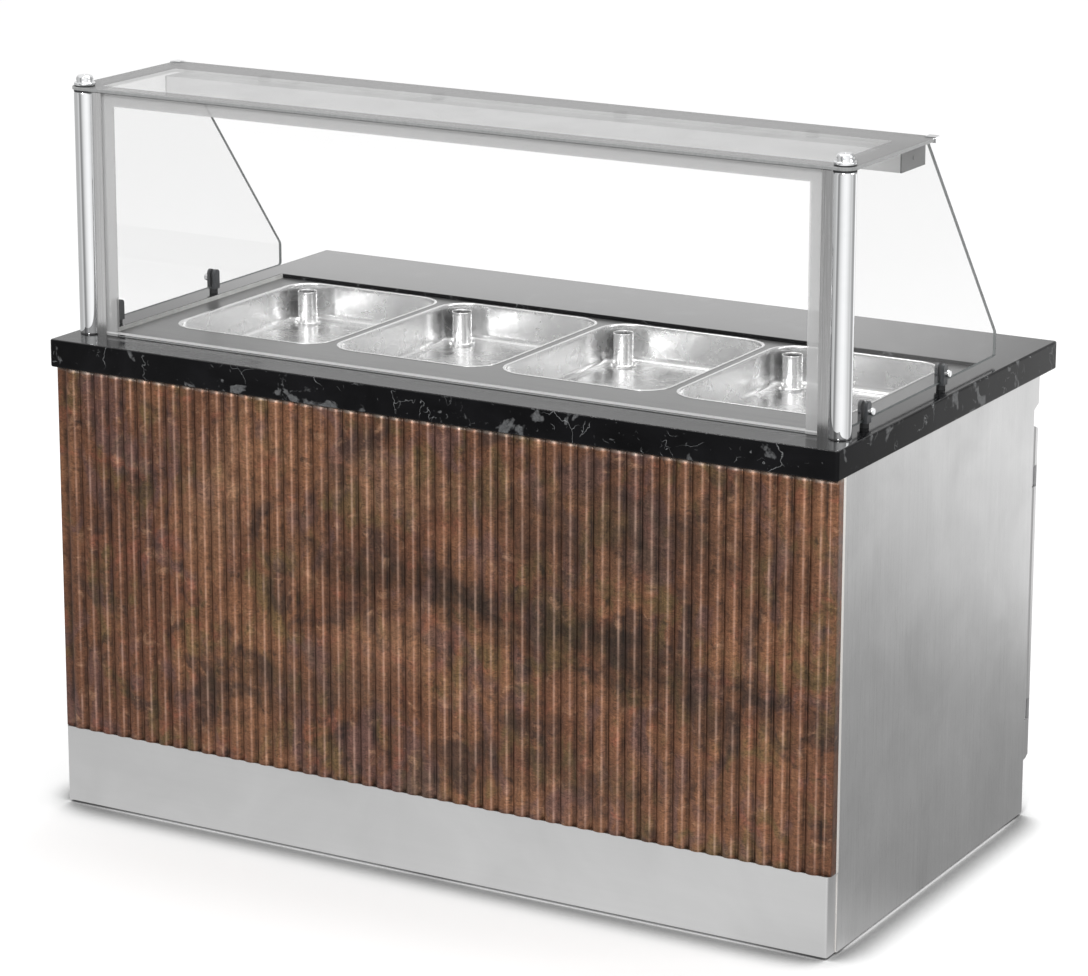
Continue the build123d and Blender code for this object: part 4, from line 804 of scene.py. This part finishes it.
makePosts(post)
print("posts and caps done")


# Glass.

glass = {
    "ease": .8,
    "top": {"half": 787, "front": 58, "rear": 400, "low": 1349, "high": 1355, "corners": (22, 22, 10, 10)},
    "upright": {"half": 737.8, "low": 895, "high": 1345, "front": 77, "rear": 83, "corners": (0, 0, 0, 0)},
    "side": {"x": 767, "thickness": 6, "corners": (2, 6, 14, 3, 2),
             "outline": [(105, 907), (710, 907), (710, 952), (394, 1349), (105, 1349)]},
}


# the top pane on its plan, the front pane on its elevation, and the two side panes on their sloped outline
def makeGlass(v):
    top, upright, side = v["top"], v["upright"], v["side"]
    h = top["half"]
    corners = np.array([(-h, top["front"]), (h, top["front"]), (h, top["rear"]), (-h, top["rear"])], float)
    made = plate("topPane", corners - [0, halfDepth], top["corners"], top["low"], top["high"], "Z", v["ease"],
                 topPane, paneEdge)
    place(made, "counter", "frosted_glass", "top_glass")
    h = upright["half"]
    corners = [(-h, upright["low"]), (h, upright["low"]), (h, upright["high"]), (-h, upright["high"])]
    made = plate("frontPane", corners, upright["corners"], upright["front"] - halfDepth,
                 upright["rear"] - halfDepth, "Y", v["ease"], looks["frosted_glass"], paneEdge)
    place(made, "counter", "frosted_glass", "front_glass")
    outline = np.array(side["outline"], float) - [halfDepth, 0]
    made = []
    for hand in (-1, 1):
        low = hand * side["x"] - side["thickness"] / 2
        made.append(plate("pane", outline, side["corners"], low, low + side["thickness"], "X", v["ease"],
                          looks["clear_glass"], sideEdge))
    place(joined("sidePanes", made), "counter", "clear_glass", "side_glasses")


makeGlass(glass)
print("glass done")


# Studio. Lengths here are in metres.

studio = {
    "floorHalf": 30, "floorWhite": .84, "floorGlow": .15,
    "contactReach": .11,
    "contact": (.5, .93, .12),   # openness from and to, and the share of the tone left at the first
    "worldDiffuse": .8, "upward": 1.05,
    "near": (1.1, 2.1),   # distances between which nearTurns gives way to turns on the floor
    "sunTurn": 10, "sunHeight": 27, "sunStrength": 1.5, "sunSpread": 9,
    # name, place, aim, size and power
    "lamps": [("side", (5.2, .8, 3), (.8, 0, .6), (2.5, 2.5), 55),
              ("top", (0, .6, 4.2), (0, 0, .9), (3, 2), 70)],
    # turn from the front in degrees (positive to the right) and the brightness met there
    "turns": [(-180, .72), (-120, .6), (-66, .58), (-52, .66), (-43, .85), (-36, .6), (-30, .34),
              (-20, .34), (-12, .55), (-4, .79), (5, .95), (16, 1.08), (28, 1.2), (45, 1.24), (60, 1.13),
              (75, .95), (86, .78), (97, .84), (112, .5), (126, .42), (134, .52), (143, 1.15),
              (152, 1.35), (163, 1.15), (180, .8)],
    # the same close to the body, where the plinth and the foot of the side look
    "nearTurns": [(-180, .5), (-90, .6), (-60, .88), (-30, .92), (10, .98), (44, 1.02), (58, .92), (70, .55),
                  (88, .4), (180, .5)],
    # the card behind the body, seen only in reflections: left, right, y, low, high
    "card": (-6, 4, 1.5, 1.08, 3.2),
    "cardFade": (-.2, .35, 1, .55),   # x from and to, with the strength at each
    # z and the brightness there
    "cardSteps": [(1.08, 1.5), (1.2, 1.5), (1.36, .8), (1.5, .62), (1.62, .95), (3.2, 1.05)],
}


# brightness by steps of (position from 0 to 1, brightness)
def rampOf(tree, value, steps, interpolation):
    ramp = add(tree, "ValToRGB", (value,))
    elements = ramp.color_ramp.elements
    while len(elements) < len(steps):
        elements.new(.5)
    for element, (position, brightness) in zip(elements, steps):
        element.position, element.color = position, grey(brightness)
    ramp.color_ramp.interpolation = interpolation
    return ramp


# brightness by compass direction, atan2(x, -y): 0 at the front, growing to the right
def turnRamp(tree, x, y, turns):
    turn = add(tree, "Math", (x, add(tree, "Math", (y, -1), operation="MULTIPLY")), operation="ARCTAN2")
    turn = add(tree, "Math", (turn, 2 * math.pi), operation="DIVIDE")
    turn = add(tree, "Math", (turn, .5), operation="ADD")
    return rampOf(tree, turn, [((degrees + 180) / 360, value) for degrees, value in turns], "EASE")


# white to the camera, a run of light and dark to reflections, and plain grey light for the rest
def makeWorld(v):
    world = bpy.data.worlds.new("studio")
    bpy.context.scene.world = world
    world.use_nodes = True
    tree = world.node_tree
    tree.nodes.clear()
    rays = add(tree, "LightPath").outputs
    part = add(tree, "SeparateXYZ", (add(tree, "TexCoord").outputs["Generated"],)).outputs
    high = add(tree, "MapRange", (part[2], .25, .8), interpolation_type="SMOOTHSTEP")
    around = turnRamp(tree, part[0], part[1], v["turns"])
    reflected = add(tree, "Mix", {0: high, 6: around, 7: grey(v["upward"])}, data_type="RGBA").outputs[2]
    light = add(tree, "Mix", {0: rays["Is Glossy Ray"], 6: grey(v["worldDiffuse"]), 7: reflected},
                data_type="RGBA").outputs[2]
    seen = add(tree, "Mix", {0: rays["Is Camera Ray"], 6: light, 7: grey(1)}, data_type="RGBA").outputs[2]
    add(tree, "OutputWorld", (add(tree, "Background", {"Color": seen, "Strength": 1}),))


# Painted floor, matt white: it keeps the body's shadow, and polished parts see the same light and dark in it.
def makeFloor(v):
    s = v["floorHalf"]
    floor = meshObject("studioFloor", [(-s, -s, 0), (s, -s, 0), (s, s, 0), (-s, s, 0)], [(0, 1, 2, 3)], False)
    material, tree, shader = newMaterial("seamless white floor", Roughness=.8)
    white = v["floorWhite"]
    tone = add(tree, "MapRange", (field(tree, 900, 2, .5), .3, .7, white - .004, white + .004))
    # the shadow gathers where the body stands on the floor
    closed = add(tree, "AmbientOcclusion", {"Distance": v["contactReach"]}, samples=12).outputs["AO"]
    low, high, dark = v["contact"]
    contact = add(tree, "MapRange", (closed, low, high, dark, 1), interpolation_type="SMOOTHSTEP")
    tone = add(tree, "Math", (tone, contact), operation="MULTIPLY")
    rays = add(tree, "LightPath").outputs
    glow = add(tree, "Math", (rays["Is Camera Ray"], v["floorGlow"]), operation="MULTIPLY")
    connect(tree, shader, {
        "Base Color": add(tree, "CombineColor", (tone, tone, tone)),
        "Specular IOR Level": .1, "Emission Color": grey(1),
        "Emission Strength": add(tree, "Math", (glow, contact), operation="MULTIPLY")})
    # what polished parts see when they look down, dimmer near the body
    point = add(tree, "TexCoord").outputs["Object"]
    part = add(tree, "SeparateXYZ", (point,)).outputs
    far = add(tree, "VectorMath", (point,), operation="LENGTH").outputs["Value"]
    away = add(tree, "MapRange", (far, *v["near"]), interpolation_type="SMOOTHSTEP")
    close = turnRamp(tree, part[0], part[1], v["nearTurns"])
    around = turnRamp(tree, part[0], part[1], v["turns"])
    mirrored = add(tree, "Mix", {0: away, 6: close, 7: around}, data_type="RGBA").outputs[2]
    mirrored = add(tree, "Emission", {"Color": mirrored, "Strength": 1})
    both = add(tree, "MixShader", (rays["Is Glossy Ray"], shader, mirrored))
    connect(tree, tree.nodes["Material Output"], (both,))
    material.cycles.emission_sampling = "NONE"
    floor.data.materials.append(material)


def makeCard(v):
    left, right, behind, low, high = v["card"]
    card = meshObject("studioCard", [(left, behind, low), (right, behind, low), (right, behind, high),
                                     (left, behind, high)], [(0, 1, 2, 3)], False)
    material, tree = bareMaterial("studio card")
    at = add(tree, "SeparateXYZ", (add(tree, "TexCoord").outputs["Object"],)).outputs
    steps = [((z - low) / (high - low), value) for z, value in v["cardSteps"]]
    fade = add(tree, "MapRange", (at[0], *v["cardFade"]))
    tone = rampOf(tree, add(tree, "MapRange", (at[2], low, high)), steps, "LINEAR")
    add(tree, "OutputMaterial", (add(tree, "Emission", {"Color": tone, "Strength": fade}),))
    material.cycles.emission_sampling = "NONE"
    card.data.materials.append(material)
    card.visible_camera = card.visible_diffuse = card.visible_transmission = card.visible_shadow = False


def makeLamps(v):
    turn, height = math.radians(v["sunTurn"]), math.radians(v["sunHeight"])
    level = math.cos(height)
    towards = Vector((math.sin(turn) * level, -math.cos(turn) * level, math.sin(height)))
    sun = bpy.data.lights.new("sun", "SUN")
    sun.energy, sun.angle = v["sunStrength"], math.radians(v["sunSpread"])
    holder = bpy.data.objects.new("sun", sun)
    holder.rotation_euler = towards.to_track_quat("Z", "Y").to_euler()
    bpy.context.scene.collection.objects.link(holder)
    for name, at, aim, size, power in v["lamps"]:
        lamp = bpy.data.lights.new(name, "AREA")
        lamp.shape, lamp.size, lamp.size_y, lamp.energy = "RECTANGLE", *size, power
        holder = bpy.data.objects.new(name, lamp)
        holder.location = at
        holder.rotation_euler = (Vector(aim) - Vector(at)).to_track_quat("-Z", "Y").to_euler()
        bpy.context.scene.collection.objects.link(holder)
        holder.visible_camera = False


makeWorld(studio)
makeFloor(studio)
makeCard(studio)
makeLamps(studio)
print("studio done")


# Camera: place in metres, angles in degrees, lens in mm.

view = {"at": (3.4488, -6.0203, 2.519), "yaw": -28.878, "pitch": 13.595, "roll": .362, "lens": 128.615,
        "shift": (-.066, -.1097), "sensor": 36, "clipEnd": 200}


def makeCamera(v):
    yaw, pitch, roll = (math.radians(v[k]) for k in ("yaw", "pitch", "roll"))
    forward = Vector((math.sin(yaw) * math.cos(pitch), math.cos(yaw) * math.cos(pitch), -math.sin(pitch)))
    right = Vector((math.cos(yaw), -math.sin(yaw), 0))
    up = right.cross(forward)
    turnedRight = right * math.cos(roll) + up * math.sin(roll)
    turnedUp = -right * math.sin(roll) + up * math.cos(roll)
    data = bpy.data.cameras.new("photoCamera")
    data.lens, data.sensor_width, data.clip_end = v["lens"], v["sensor"], v["clipEnd"]
    data.shift_x, data.shift_y = v["shift"]
    camera = bpy.data.objects.new("photoCamera", data)
    axes = Matrix((turnedRight, turnedUp, -forward)).transposed().to_4x4()
    camera.matrix_world = Matrix.Translation(v["at"]) @ axes
    bpy.context.scene.collection.objects.link(camera)
    bpy.context.scene.camera = camera


makeCamera(view)
bpy.context.scene.view_settings.view_transform = "Standard"
print("camera done")
